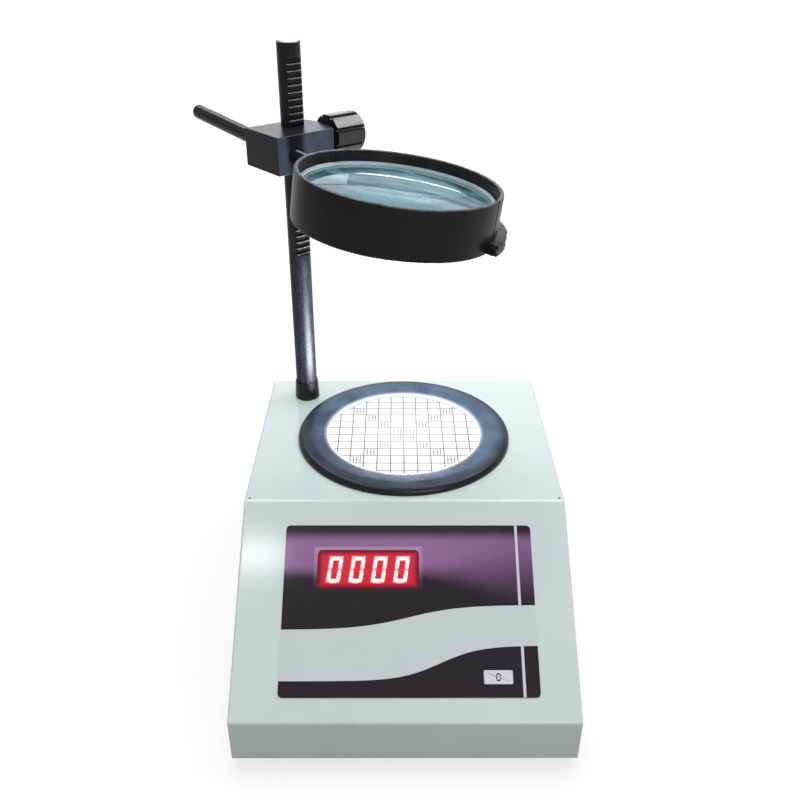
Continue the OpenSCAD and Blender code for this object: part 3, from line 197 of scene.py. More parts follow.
def eased(corners, radius, steps=5):
    """The closed outline with its corners rounded; a corner may carry its own radius as a third number."""
    points = []
    for i, corner in enumerate(corners):
        r = corner[2] if len(corner) > 2 else radius
        here = Vector(corner[:2])
        back = Vector(corners[i - 1][:2]) - here
        on = Vector(corners[(i + 1) % len(corners)][:2]) - here
        half = back.angle(on) / 2
        reach = r / math.tan(half)
        if r == 0 or half > 1.55:
            points.append(tuple(here))
            continue
        start, stop = here + back.normalized() * reach, here + on.normalized() * reach
        centre = here + (back.normalized() + on.normalized()).normalized() * r / math.sin(half)
        sweep = (start - centre).angle_signed(stop - centre)
        for k in range(steps + 1):
            arm = (start - centre).copy()
            arm.rotate(Matrix.Rotation(-sweep * k / steps, 2))
            points.append(tuple(centre + arm))
    return points


def change(piece, kind, **settings):
    """Add one modifier, set it and apply it."""
    take(piece)
    bpy.ops.object.modifier_add(type=kind)
    modifier = piece.modifiers[-1]
    for key, value in settings.items():
        setattr(modifier, key, value)
    bpy.ops.object.modifier_apply(modifier=modifier.name)
    return piece


def soften(piece, width, segments=3):
    """Round every edge that is sharper than 30 degrees."""
    return change(piece, "BEVEL", width=width * MM, segments=segments, limit_method="ANGLE",
                  angle_limit=math.radians(30))


def cut(piece, tool, operation="DIFFERENCE"):
    """Cut a tool out of a piece, or weld it on, and throw the tool away."""
    change(piece, "BOOLEAN", operation=operation, solver="EXACT", object=tool)
    bpy.data.objects.remove(tool, do_unlink=True)


def put(piece, place):
    """Move a piece that was drawn at the origin to its place, and keep that place in its mesh."""
    take(piece)
    piece.matrix_world = place
    bpy.ops.object.transform_apply(location=True, rotation=True, scale=True)
    return piece


def settle(piece, body, slot, *nodes, flat=False):
    """Shade a finished piece, let it ride on its body and stand in for its solids."""
    take(piece)
    bpy.ops.object.shade_smooth_by_angle(angle=math.radians(35))
    if flat:
        change(piece, "WEIGHTED_NORMAL", keep_sharp=True)
    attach(piece, body)
    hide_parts(*nodes)
    parts[piece.name] = piece
    size = [round(s / MM, 1) for s in piece.dimensions]
    print("made", piece.name, "of", len(piece.data.polygons), "faces,", *size, "mm")


print("modelling hands are ready")

# %% [markdown]
# ## The cabinet
# The real cabinet is one steel sheet, folded over the front lip, the slope and the deck, with welded sides.
# It could be drawn as separate plates, but then the folds would be sharp. So it starts as one cube: a bisect
# takes off the front corner, the open back and bottom are deleted, the folds are bevelled, and Solidify gives
# the sheet its thickness. The openings are cut last, through both skins.

# %% The cabinet
fresh()
MID_HEIGHT = (FOOT + HEIGHT / 2) * MM
bpy.ops.mesh.primitive_cube_add(size=MM, location=(0, 0, MID_HEIGHT), scale=(WIDTH, DEPTH, HEIGHT))
cabinet = bpy.context.object
cabinet.name = cabinet.data.name = "cabinet"
bpy.ops.object.transform_apply(location=True, rotation=True, scale=True)
bpy.ops.object.mode_set(mode="EDIT")
bpy.ops.mesh.select_all(action="SELECT")
slope_normal = slope.to_3x3() @ Vector((0, 0, 1))
bpy.ops.mesh.bisect(plane_co=slope.translation, plane_no=slope_normal, use_fill=True, clear_outer=True)
choose("faces", lambda f: f.normal.z < -0.9 or f.normal.y > 0.9)
bpy.ops.mesh.delete(type="ONLY_FACE")
choose("edges", lambda e: len(e.link_faces) == 2)
FOLD = 1.5
bpy.ops.mesh.bevel(offset=FOLD * MM, segments=4, affect="EDGES")
fresh()
change(cabinet, "SOLIDIFY", thickness=SHEET * MM, offset=-1, use_even_offset=True)
print("folded sheet with", len(cabinet.data.polygons), "faces")

# %% [markdown]
# The sheet has a rounded window for the display, a slot for the reset key, a large round hole for the lit
# disc, a hole for the foot of the post, and two small relief holes at the ends of the upper fold.

# %% Openings in the cabinet


def plate(w, l, r):
    """The outline of a rectangle with round corners, about its middle."""
    return eased([(-w / 2, -l / 2), (w / 2, -l / 2), (w / 2, l / 2), (-w / 2, l / 2)], r)


DEEP = 5
WINDOW_W, WINDOW_L, WINDOW_CORNER = 68, 26, 3
KEY_HOLE_W, KEY_HOLE_L, KEY_HOLE_CORNER = 19.2, 9.2, 0.6
DISC_HOLE_R, POST_HOLE_R = 66, 6.1
RELIEF_R, RELIEF_IN, RELIEF_BACK = 1, 3.6, 2.6
cut(cabinet, put(slab("window_tool", plate(WINDOW_W, WINDOW_L, WINDOW_CORNER), -DEEP, DEEP), window))
cut(cabinet, put(slab("key_tool", plate(KEY_HOLE_W, KEY_HOLE_L, KEY_HOLE_CORNER), -DEEP, DEEP), key_place))
cut(cabinet, put(rod(DISC_HOLE_R, -DEEP, DEEP, 160), disc))
cut(cabinet, put(rod(POST_HOLE_R, -DEEP, DEEP), post_place))
for side in (-1, 1):
    relief = shift(side * (WIDTH / 2 - RELIEF_IN), DECK_FRONT + RELIEF_BACK, DECK)
    cut(cabinet, put(rod(RELIEF_R, -DEEP, DEEP, 32), relief))
settle(cabinet, "base", "cabinet_paint", "cabinet_shell", flat=True)

# %% [markdown]
# ## The ring round the disc
# A moulded ring frames the lit disc. Its top falls gently towards the opening and its outer edge is well
# rounded. A turned part like this is quickest to spin from its half section.

# %% The ring
RING_IN, RING_OUT, RING_BROW, RING_TOP = 58.5, 81.15, 71, 5.4
INNER_TOP, OUTER_TOP, UNDERSIDE = 3.7, 5, 0.4
SPIGOT_IN, SPIGOT_OUT, SPIGOT_LOW = 62.3, 65.7, -3
ring = turned("ring", eased([
    (RING_IN, UNDERSIDE, 0), (RING_IN, INNER_TOP, 1.2), (RING_BROW, RING_TOP, 14), (RING_OUT, OUTER_TOP, 4.4),
    (RING_OUT, 0, 0.3), (SPIGOT_OUT, 0, 0.2), (SPIGOT_OUT, SPIGOT_LOW, 0.4), (SPIGOT_IN, SPIGOT_LOW, 0.4),
    (SPIGOT_IN, UNDERSIDE, 0)], 0.5, 7) + [(RING_IN, UNDERSIDE)], 160)
put(ring, disc)
settle(ring, "base", "ring_black", "ring_bezel")

# %% [markdown]
# ## The sliding head
# The head is a cast block that slides on the post. Its knob side bulges in a shallow arc, its edges are
# rounded, and it is bored for the post, the handle and the pinion. The outline is drawn as seen from above
# and raised, then softened, and the bores are cut last so that their rims stay crisp.

# %% The sliding head
BLOCK_BACK, BLOCK_FRONT, BLOCK_LEFT, BLOCK_HALF = -12.4, 29.2, -32.4, 13.1
BULGE, BULGE_R, BULGE_STEPS = 19.8, 45.764, 16
POST_BORE_R, HANDLE_BORE_R, BUSH_BORE_R, BUSH_FLOOR = 8.35, 7.1, 7.895, -5.3
block_l, block_mid = BLOCK_FRONT - BLOCK_BACK, (BLOCK_FRONT + BLOCK_BACK) / 2
arc = [(u, BULGE - BULGE_R + math.sqrt(BULGE_R ** 2 - (u - block_mid) ** 2))
       for u in [BLOCK_FRONT - block_l * k / BULGE_STEPS for k in range(BULGE_STEPS + 1)]]
block_outline = [(BLOCK_BACK, BLOCK_LEFT), (BLOCK_FRONT, BLOCK_LEFT)] + arc
block = soften(slab("head_block", block_outline, -BLOCK_HALF, BLOCK_HALF), 0.8)
cut(block, rod(POST_BORE_R, -20, 20))
put(block, head)
cut(block, put(rod(HANDLE_BORE_R, -60, 60), handle @ turn(90, "Y")))
cut(block, put(rod(BUSH_BORE_R, BUSH_FLOOR, 30), drive))
settle(block, "carriage", "stand_black", "carriage_block", flat=True)

# %% [markdown]
# ## The fluted knob
# The knob has eight broad lobes between narrow grooves. A cylinder with a noisy bump would only hint at
# them, so the outline itself is drawn with its grooves and raised. A turned blank with a well rounded outer
# end then trims it, so the lobes run out softly as on a moulding. A short hub is welded on towards the block.

# %% The fluted knob
KNOB_R, LOBE_R, GROOVE_R, GROOVES = 14.5, 40, 1.2, 8
LOBE_STEPS, GROOVE_STEPS = 8, 6
KNOB_LOW, KNOB_TOP, KNOB_CAP_R, CAP_SINK = 21.2, 47.2, 9.4, 0.8
BLANK_R, HUB_R, HUB_LOW = KNOB_R + 0.6, 7, 20.2


def bow(across):
    """How far out from the axis a lobe's surface lies, this far beside its middle."""
    return KNOB_R + math.sqrt(LOBE_R ** 2 - across ** 2) - LOBE_R


def knob_outline():
    """Flat lobes, each an arc of a larger circle, with a narrow round groove between two."""
    step, points = 2 * math.pi / GROOVES, []

    def add(spot, angle):
        spot.rotate(Matrix.Rotation(angle, 2))
        points.append(tuple(spot))

    edge = bow(KNOB_R * math.sin(step / 2))
    for k in range(GROOVES):
        for j in range(LOBE_STEPS + 1):
            across = KNOB_R * math.sin((j / LOBE_STEPS - 0.5) * (step - 2 * GROOVE_R / KNOB_R))
            add(Vector((bow(across), across)), k * step)
        for j in range(1, GROOVE_STEPS):
            a = math.radians(90 + 180 * j / GROOVE_STEPS)
            add(Vector((edge + GROOVE_R * math.cos(a), -GROOVE_R * math.sin(a))), (k + 0.5) * step)
    return points


knob = soften(slab("knob", knob_outline(), KNOB_LOW - 1.2, KNOB_TOP + 2.8), 0.25, 2)
blank = turned("blank", eased([
    (0, KNOB_LOW, 0), (BLANK_R, KNOB_LOW, 1.2), (BLANK_R, KNOB_TOP, 4.2), (KNOB_CAP_R, KNOB_TOP, 0.4),
    (KNOB_CAP_R - 1, KNOB_TOP - CAP_SINK, 0.4), (0, KNOB_TOP - CAP_SINK, 0)], 0.5, 8))
cut(knob, blank, "INTERSECT")
cut(knob, rod(HUB_R, HUB_LOW, KNOB_LOW + 0.8), "UNION")
put(knob, drive)
settle(knob, "focus_drive", "knob_black", "focus_knob", flat=True)

# %% [markdown]
# ## The lens barrel
# The barrel is a deep split band: a wall with rounded rims and an inner ledge for the lens, closed by a clamp
# screw through two lugs low on its right side. The band is spun from its section, the lugs and the handle's
# socket are welded on, and the seam and the screw's hole are cut through both.

# %% The lens barrel
BARREL_R, BARREL_IN, BARREL_LOW, BARREL_TOP = 64, 61.3, -13.4, 17.4
LEDGE_IN, LEDGE_LOW, LEDGE_TOP = 58.7, 1.29, 3.29
SEAM = 26
barrel = turned("barrel", eased([
    (BARREL_IN, BARREL_TOP, 0.9), (BARREL_R, BARREL_TOP, 1.2), (BARREL_R, BARREL_LOW, 1),
    (BARREL_IN, BARREL_LOW, 0.6), (BARREL_IN, LEDGE_LOW, 0), (LEDGE_IN, LEDGE_LOW, 0.4),
    (LEDGE_IN, LEDGE_TOP, 0.4), (BARREL_IN, LEDGE_TOP, 0)], 0.5) + [(BARREL_IN, BARREL_TOP - 0.9)], 192)
LUG_H, LUG_IN, LUG_OUT, LONG_LUG, SHORT_LUG = 7, BARREL_R - 1.35, BARREL_R + 6.5, 40, 6
SOCKET_R, SOCKET_END = 8, BARREL_R + 12
SCREW_R, SCREW_OUT, SCREW_Z, SCREW_HEAD_R = 1.6, 3.75, -9.9, 3.5
SEAM_IN, SEAM_OUT, SEAM_HALF = 56, 80, 0.7


def lug(start, sweep, steps):
    """A piece of flange on the barrel's foot, over this many degrees."""
    angles = [math.radians(start + sweep * k / steps) for k in range(steps + 1)]
    outline = [(LUG_IN * math.cos(a), LUG_IN * math.sin(a)) for a in angles]
    outline += [(LUG_OUT * math.cos(a), LUG_OUT * math.sin(a)) for a in reversed(angles)]
    return soften(slab("lug", outline, BARREL_LOW, BARREL_LOW + LUG_H), 0.7)


cut(barrel, lug(SEAM, LONG_LUG, 16), "UNION")
cut(barrel, lug(SEAM - SHORT_LUG, SHORT_LUG, 4), "UNION")
cut(barrel, put(soften(rod(SOCKET_R, -SOCKET_END, 1.5 - BARREL_R), 0.6), turn(90, "Y")), "UNION")
seam = [(SEAM_IN, -SEAM_HALF), (SEAM_OUT, -SEAM_HALF), (SEAM_OUT, SEAM_HALF), (SEAM_IN, SEAM_HALF)]
cut(barrel, put(slab("seam_tool", seam, -20, 24), turn(SEAM, "Z")))
screw_line = turn(SEAM, "Z") @ shift(BARREL_R + SCREW_OUT, 0, SCREW_Z) @ turn(-90, "X")
cut(barrel, put(rod(SCREW_R, -12, 12, 32), screw_line))
cut(barrel, put(rod(SCREW_HEAD_R, 6, 40, 32), screw_line))
put(barrel, lens_place)
settle(barrel, "magnifier", "barrel_black", "lens_barrel")

# %% [markdown]
# ## The lens
# The magnifier's glass is a biconvex disc. Its two faces have to be smooth for it to bend light well, so
# its half section follows the two spheres in fine steps before it is spun.

# %% The lens
LENS_R, LENS_EDGE, LENS_BALL, LENS_MID, LENS_STEPS = 61.1, 4, 360, 5.8, 32


def lens_face(k):
    """Radius and height of one point on the upper sphere."""
    r = LENS_R * k / LENS_STEPS
    return r, LENS_EDGE / 2 + math.sqrt(LENS_BALL ** 2 - r * r) - math.sqrt(LENS_BALL ** 2 - LENS_R ** 2)


upper = [lens_face(k) for k in range(LENS_STEPS + 1)]
glass = turned("magnifier_glass", [(r, -z) for r, z in upper] + [(r, z) for r, z in reversed(upper)], 160)
put(glass, lens_place @ shift(0, 0, LENS_MID))
settle(glass, "magnifier", "lens_glass", "lens")

# %% [markdown]
# ## The reset key
# A small moulded key stands just above the printed film. It is a rounded plate with a softened top, a short
# stem below, and a shallow hollow for the fingertip, made by an inset that is pushed down a little.

# %% The reset key
KEY_W, KEY_L, KEY_CORNER, KEY_LOW, KEY_TOP = 18.6, 8.6, 1.2, -2.2, 1.4
KEY_EDGE, HOLLOW_IN, HOLLOW_DEEP, STEM_R, STEM_LOW = 0.5, 1.2, 0.12, 2, -6
key = slab("key_cap", plate(KEY_W, KEY_L, KEY_CORNER), KEY_LOW, KEY_TOP)
take(key)
bpy.ops.object.mode_set(mode="EDIT")
choose("edges", lambda e: min(v.co.z for v in e.verts) > (KEY_TOP - 0.1) * MM)
bpy.ops.mesh.bevel(offset=KEY_EDGE * MM, segments=4, affect="EDGES")
choose("faces", lambda f: f.normal.z > 0.99 and f.calc_area() > 40 * MM ** 2)
bpy.ops.mesh.inset(thickness=HOLLOW_IN * MM, depth=-HOLLOW_DEEP * MM)
fresh()
cut(key, rod(STEM_R, STEM_LOW, -2, 32), "UNION")
put(key, key_place)
settle(key, "reset_key", "key_plastic", "reset_button", flat=True)

# %% [markdown]
# ## Shader sums
# A finish is a small node tree. Writing it node by node hides the idea, so one class wraps a node's output
# and lets Python's own operators add the Math nodes: `1 - mask` or `0.3 + 0.1 * grain` read as they are
# meant. One method makes any other node. `at` gives the surface's own millimetres, measured from a place.

# %% Shader sums


class Wire:
    """One output of a node, used like a number in a sum."""

    def __init__(self, tree, socket=None):
        self.tree, self.socket = tree, socket

    def node(self, kind, inputs=None, out=0, **settings):
        """Any node: its settings come first, then the values or links of its sockets."""
        made = self.tree.nodes.new(kind)
        for key, value in settings.items():
            setattr(made, key, value)
        for key, value in (inputs or {}).items():
            if isinstance(value, Wire):
                self.tree.links.new(value.socket, made.inputs[key])
            else:
                made.inputs[key].default_value = value
        return Wire(self.tree, made.outputs[out])

    def math(self, operation, *others):
        return self.node("ShaderNodeMath", dict(enumerate((self,) + others)), operation=operation)

    def __add__(self, other):
        return self.math("ADD", other)

    __radd__ = __add__

    def __sub__(self, other):
        return self.math("SUBTRACT", other)

    def __rsub__(self, other):
        return self.node("ShaderNodeMath", {0: other, 1: self}, operation="SUBTRACT")

    def __mul__(self, other):
        return self.math("MULTIPLY", other)

    __rmul__ = __mul__

    def __truediv__(self, other):
        return self.math("DIVIDE", other)

    def __abs__(self):
        return self.math("ABSOLUTE")

    def __lt__(self, other):
        return self.math("LESS_THAN", other)

    def __gt__(self, other):
        return self.math("GREATER_THAN", other)

    def both(self, other):
        return self.math("MINIMUM", other)

    def either(self, other):
        return self.math("MAXIMUM", other)

    def fade(self, low, high):
        """0 below low, 1 above high, smooth between."""
        return self.node("ShaderNodeMapRange", {0: self, 1: low, 2: high}, interpolation_type="SMOOTHSTEP")

    def repeat(self, period):
        """Distance from the nearest multiple of a period."""
        return abs(self.math("WRAP", period / 2, -period / 2))

    def at(self, place):
        """The surface's own coordinates in millimetres, measured from a place."""
        spot = self.node("ShaderNodeTexCoord", out="Object")
        return self.node("ShaderNodeMapping", {"Vector": spot, "Location": place.translation,
                                               "Rotation": place.to_euler(), "Scale": (MM, MM, MM)},
                         vector_type="TEXTURE")

    def split(self):
        apart = self.node("ShaderNodeSeparateXYZ", {0: self}).socket.node
        return [Wire(self.tree, socket) for socket in apart.outputs]

    def stretch(self, x, y, z):
        return self.node("ShaderNodeMapping", {"Vector": self, "Scale": (x, y, z)})

    def grain(self, size, detail=3, rough=0.55):
        """Soft noise whose lumps are about this many millimetres across."""
        return self.node("ShaderNodeTexNoise", {"Vector": self, "Scale": 1 / size, "Detail": detail,
                                                "Roughness": rough})

    def cells(self, size):
        return self.node("ShaderNodeTexVoronoi", {"Vector": self, "Scale": 1 / size})

    def mix(self, low, high):
        """A colour between two wires or screen colours, with this wire as the share of the second."""
        low, high = (end if isinstance(end, Wire) else paint(*end) for end in (low, high))
        return self.node("ShaderNodeMix", {0: self, 6: low, 7: high}, out=2, data_type="RGBA")

    def bump(self, depth, strength=1.0):
        """Relief of this many millimetres, with this wire as its height."""
        return self.node("ShaderNodeBump", {"Strength": strength, "Distance": depth * MM, "Height": self})


def paint(*screen):
    """A screen colour, 0 to 255, as the linear colour that a shader takes."""
    shares = [c / 255 for c in screen]
    return tuple(s / 12.92 if s <= 0.04045 else ((s + 0.055) / 1.055) ** 2.4 for s in shares) + (1,)


def distance(x, y):
    """How far a spot lies from the middle of its place."""
    return (x * x + y * y).math("SQRT")


def finish(name):
    """A new material, and the wire that its sums start from."""
    material = bpy.data.materials.new(name)
    material.use_nodes = True
    return material, Wire(material.node_tree)


def dress(material, sockets, *names):
    """Set or link the shader's sockets, and put the finish on these pieces."""
    shader = material.node_tree.nodes["Principled BSDF"]
    for key, value in sockets.items():
        if isinstance(value, Wire):
            material.node_tree.links.new(value.socket, shader.inputs[key])
        else:
            shader.inputs[key].default_value = value
    for name in names:
        parts[name].data.materials.clear()
        parts[name].data.materials.append(material)
    print("finish", material.name, "on", *names)


print("shader sums are ready")

# %% [markdown]
# ## Baked enamel
# The cabinet's paint is a pale grey-green baked enamel: glossy, with the fine orange peel of a sprayed coat,
# faint clouds where hands have wiped it, and a thin rubbed line along the folds.

# %% Baked enamel
enamel, start = finish("baked_enamel")
here = start.at(whole)
x, y, z = here.split()
up_y, up_z = start.at(slope).split()[1:]
cloud, peel, fleck = here.grain(70, 2), here.grain(1.1, 2), here.grain(0.5, 1)
side_rub = (abs(x) - WIDTH / 2).fade(-1.4, -0.2)
fold_rub = (1 - abs(y - DECK_FRONT).fade(0.5, 1.6)).both(abs(z - DECK).fade(1.2, 0.3))
lip_rub = (1 - abs(up_y).fade(0.4, 1.4)).both(abs(up_z).fade(1.2, 0.3))
rub = (fold_rub.either(lip_rub) * 0.55 + side_rub * 0.3) * here.grain(6, 3).fade(0.3, 0.6)
clean = cloud.fade(0.3, 0.7).mix((209, 220, 220), (214, 225, 225))
speckled = (fleck.fade(0.62, 0.75) * 0.35).mix(clean, (188, 200, 201))
dress(enamel, {"Base Color": rub.mix(speckled, (226, 233, 233)),
               "Roughness": 0.11 + 0.03 * cloud, "Specular IOR Level": 0.5,
               "Normal": (peel + 0.4 * fleck).bump(0.012, 0.4)},
      "cabinet", "chassis_tray")

# %% [markdown]
# ## The printed film
# The front carries a printed polyester film: a dark aubergine field round the display, a pale band and a dark
# foot, parted by calm S-curves with a faint pinstripe, and one upright bar. It could be a picture, but a
# picture doesn't scale, so each S is a sum of the film's own millimetres with a hyperbolic tangent.

# %% The printed film


def past_window(start):
    """How far a spot lies outside the display's window, in millimetres; negative inside it."""
    x, y, _ = start.at(window).split()
    return (abs(x) - WINDOW_W / 2).either(abs(y) - WINDOW_L / 2)


printed, start = finish("printed_film")
here = start.at(film)
x, y, _ = here.split()
FIELD_RUN, FIELD_RISE, FIELD_MID = 34, 8, -6
FOOT_X, FOOT_RUN, FOOT_RISE, FOOT_MID = 20, 26, 11, -35
STRIPE_IN, BAR_X, BAR_HALF = 3.4, 73, 0.9
field_edge = (x / FIELD_RUN).math("TANH") * FIELD_RISE + FIELD_MID
foot_edge = ((x - FOOT_X) / FOOT_RUN).math("TANH") * FOOT_RISE + FOOT_MID
field, foot = (y - field_edge).fade(-0.12, 0.12), (foot_edge - y).fade(-0.12, 0.12)
pinstripe = (abs(y - field_edge + STRIPE_IN) < 0.5).either(abs(y - foot_edge - STRIPE_IN) < 0.9)
bar = (abs(x - BAR_X) < BAR_HALF).both(field.either(foot))
border = past_window(start)
melt = x.fade(0, 74)
smoke = here.stretch(0.5, 1, 1).grain(26, 3)
dusk = y + 7 * smoke - 3.5
# Painted reflection: a purple band in the dark field, rising from a wavy lower edge and fading out near the
# top.
glow = (1 - y.fade(44, 53)) * dusk.fade(19 - 19 * melt, 30 + 16 * melt) * (1 - 0.18 * melt)
dark = (glow * (0.85 + 0.3 * smoke)).mix((47, 37, 47), (150, 104, 153))
dark = ((1 - border.fade(1.8, 2.6)) * y.fade(10, 42) * 0.4).mix(dark, (196, 176, 204))
pale = here.grain(30, 2).mix((199, 212, 213), (206, 218, 219))
ground = field.either(foot).mix(pale, dark)
ink = pinstripe.either(bar).mix(ground, (216, 208, 224))
dust = here.grain(0.45, 1).fade(0.7, 0.76) * here.grain(14, 2).fade(0.5, 0.7)
dress(printed, {"Base Color": (dust * 0.6).mix(ink, (190, 180, 196)),
                "Roughness": 0.08 + 0.03 * smoke + 0.2 * dust, "Specular IOR Level": 0.3,
                "Normal": here.grain(0.8, 2).bump(0.01, 0.4)}, "panel_overlay")

# %% [markdown]
# ## The lit display
# Four seven-stroke digits glow behind a red window. The strokes are white hot, the middle ones are off, and
# the red plastic carries a halo round each digit. The halo is the distance to the outline of a 0, worked out
# on the window's own millimetres and repeated at the digits' pitch.

# %% The lit display
PITCH, LEAN, HALF_W, HALF_L = 14.9, math.tan(math.radians(8)), 3.3, 7.6


def digit_sums(start):
    """Distance across a digit, height on it, and 1 where the four digits are."""
    x, y, _ = start.at(window).split()
    upright = x - y * LEAN
    across = (upright - PITCH / 2).math("WRAP", PITCH / 2, -PITCH / 2)
    return across, y, 1 - abs(upright).fade(2 * PITCH - 2, 2 * PITCH + 1)


red, start = finish("red_window")
across, y, inside = digit_sums(start)
gap = abs((abs(across) - HALF_W).either(abs(y) - HALF_L))
halo = (gap * -0.42).math("EXPONENT") * inside
# Painted shade: the glow is painted darker towards the window's edge, within 4.5 mm of it.
edge_shade = past_window(start).fade(-4.5, 0)
core = (1 - gap.fade(0.6, 1.6)) * inside * abs(y).fade(0.2, 0.7)
lit = core.mix(halo.mix((184, 44, 60), (230, 36, 52)), (255, 222, 218))
dress(red, {"Base Color": start.at(window).grain(9, 2).mix((92, 6, 20), (112, 8, 24)),
            "Emission Color": edge_shade.mix(lit, (84, 12, 26)), "Emission Strength": 1.08, "Alpha": 0.7,
            "Roughness": 0.12, "Specular IOR Level": 0.2}, "display_filter")

strokes, start = finish("digit_strokes")
across, y, _ = digit_sums(start)
off = (abs(y) < 1.5).both(abs(across) < 2.9)
lamp_grain = start.at(window).grain(1.2, 2)
dress(strokes, {"Base Color": off.mix((230, 120, 110), (90, 10, 18)),
                "Emission Color": off.mix(lamp_grain.mix((255, 236, 228), (255, 244, 238)), (150, 8, 20)),
                "Emission Strength": 6.0, "Roughness": 0.5}, "led_digits")

housing, start = finish("display_housing_plastic")
pits = start.at(window).grain(0.8, 2)
dress(housing, {"Base Color": pits.mix((30, 8, 12), (48, 12, 18)), "Roughness": 0.55 + 0.2 * pits,
                "Normal": pits.bump(0.03, 0.5)}, "display_housing")

# %% [markdown]
# ## The key's plastic
# The reset key is pale moulded plastic with a plain printed 0, which is what it sets the count to. The 0 is
# an ellipse ring in the key's own millimetres.

# %% The key's plastic
pale_key, start = finish("key_plastic")
here = start.at(key_place)
x, y, _ = here.split()
ZERO_W, ZERO_L = 1.35, 2.15
numeral = 1 - abs(distance(x / ZERO_W, y / ZERO_L) - 1).fade(0.2, 0.26)
texture = here.grain(0.4, 2)
ground = here.grain(5, 2).mix((214, 214, 224), (224, 224, 232))
dress(pale_key, {"Base Color": numeral.mix(ground, (52, 48, 66)),
                 "Roughness": 0.34 + 0.12 * texture, "Normal": texture.bump(0.015, 0.5)}, "key_cap")

# %% [markdown]
# ## The ring's slate plastic
# The ring is a slate-blue moulding with a spark-eroded grain. It is chalkier along the shoulder. Towards the
# back right it is painted lighter, a painted sheen, and from its brow out to the outer edge it is painted
# darker, a painted shade. Light from the lamp spills onto its inner edge; the plastic passes a little of it,
# which a faint emission near the opening stands for.

# %% The ring's slate plastic
slate, start = finish("slate_plastic")
here = start.at(disc)
x, y, z = here.split()
radius = distance(x, y)
cloud, grit = here.grain(22, 4, 0.65), here.grain(0.6, 2)
SHOULDER = 77
on_shoulder = radius.fade(SHOULDER - 5, SHOULDER) * (1 - radius.fade(SHOULDER, SHOULDER + 2.5))
worn = on_shoulder * here.grain(3, 4).fade(0.42, 0.7)
# Painted sheen: the colour grows lighter towards the back right, where light falls on the ring.
painted_sheen = (0.6 * x + 0.8 * y).fade(-80, 80)
chalk_and_sheen = cloud.fade(0.4, 0.68) * 0.4 + worn * 0.25 + painted_sheen * 0.45
slate_with_painted_light = chalk_and_sheen.mix((25, 45, 72), (96, 124, 152))
# Painted shade: from the brow out to the outer edge the colour is painted darker.
slate_with_painted_light = radius.fade(RING_BROW - 2, RING_OUT - 0.65).mix(slate_with_painted_light, (20, 23, 31))
specks = here.cells(2.6).fade(0.16, 0.05) * here.grain(12, 2).fade(0.5, 0.65)
spill = (1 - radius.fade(RING_IN - 0.3, RING_IN + 5)) * z.fade(-1, 0.6)
dress(slate, {"Base Color": (specks * 0.5).mix(slate_with_painted_light, (150, 158, 172)), "Emission Strength": 1.0,
              "Emission Color": (spill * spill).mix((0, 0, 0), (206, 202, 218)),
              "Roughness": 0.27 + 0.14 * cloud, "Specular IOR Level": 0.4,
              "Normal": grit.bump(0.06, 0.6)}, "ring")

# %% [markdown]
# ## The lit, ruled disc
# The glass over the lamp is ruled in 10 mm squares. The squares on the two diagonals and at the centre are
# ruled finer, so that a crowded dish can be sampled. Lines are remainders: the distance to the nearest
# multiple of ten. The lamp below makes the glass glow, so the ruling is in the emission as well.

# %% The lit, ruled disc
ruled, start = finish("ruled_glass")
here = start.at(disc)
x, y, _ = here.split()
SQUARE = 10
HALF = SQUARE / 2
major = (1 - x.repeat(SQUARE).fade(0.26, 0.5)).either(1 - y.repeat(SQUARE).fade(0.3, 0.6))
column, row = (abs(x) / SQUARE).math("FLOOR"), (abs(y) / SQUARE).math("FLOOR")
diagonal = (abs(column - row) < 0.5).both(abs(x) < 4 * SQUARE)
ticks = (1 - x.repeat(SQUARE / 4).fade(0.18, 0.44)) * (1 - (y - HALF).repeat(SQUARE).fade(4, 4.6))
halves = (1 - (y - HALF).repeat(SQUARE).fade(0.16, 0.4)) * (1 - (x - HALF).repeat(SQUARE).fade(4, 4.4))
radius = distance(x, y)
rule = (major * 0.9).either(ticks.either(halves) * diagonal * 0.9) * (0.72 + 0.28 * radius.fade(5, 45))
glow = radius.fade(40, 60).mix((255, 255, 255), (246, 242, 248))
dress(ruled, {"Base Color": rule.mix((130, 130, 130), (24, 20, 20)),
              "Emission Color": rule.mix(glow, (40, 30, 30)),
              "Emission Strength": 0.9, "Roughness": 0.1 + 0.05 * here.grain(10, 2)}, "grid_glass")

# %% [markdown]
# ## Black enamel of the stand
# Post, head, handle and collar share a black stove enamel over rough metal. It is glossy but not smooth: a
# fine grit shows in the highlights. It is chalky on the head's front, with a painted shadow of the handle
# left dark round it, and the handle carries a painted highlight, drawn as a bright scratch, where it slides
# in its sleeve. One function lays the coat, and each piece adds its own marks.

# %% Black enamel of the stand


def stove_enamel(name, place, low, high, rough=0.22):
    """The coat's material, its millimetres, its colour and its other sockets."""
    material, start = finish(name)
    here = start.at(place)
    cloud, grit = here.grain(9, 4, 0.6), here.grain(0.7, 3)
    streak = here.stretch(1, 1, 0.12).grain(1.6, 3)
    colour = (cloud * 0.6 + streak * 0.4).fade(0.35, 0.7).mix(low, high)
    sockets = {"Roughness": rough + 0.8 * rough * cloud, "Specular IOR Level": 0.3,
               "Normal": (grit + 0.5 * cloud).bump(0.05, 0.5)}
    return material, here, colour, sockets


material, here, colour, sockets = stove_enamel("head_enamel", head, (18, 19, 23), (30, 34, 44))
u, v, _ = here.split()
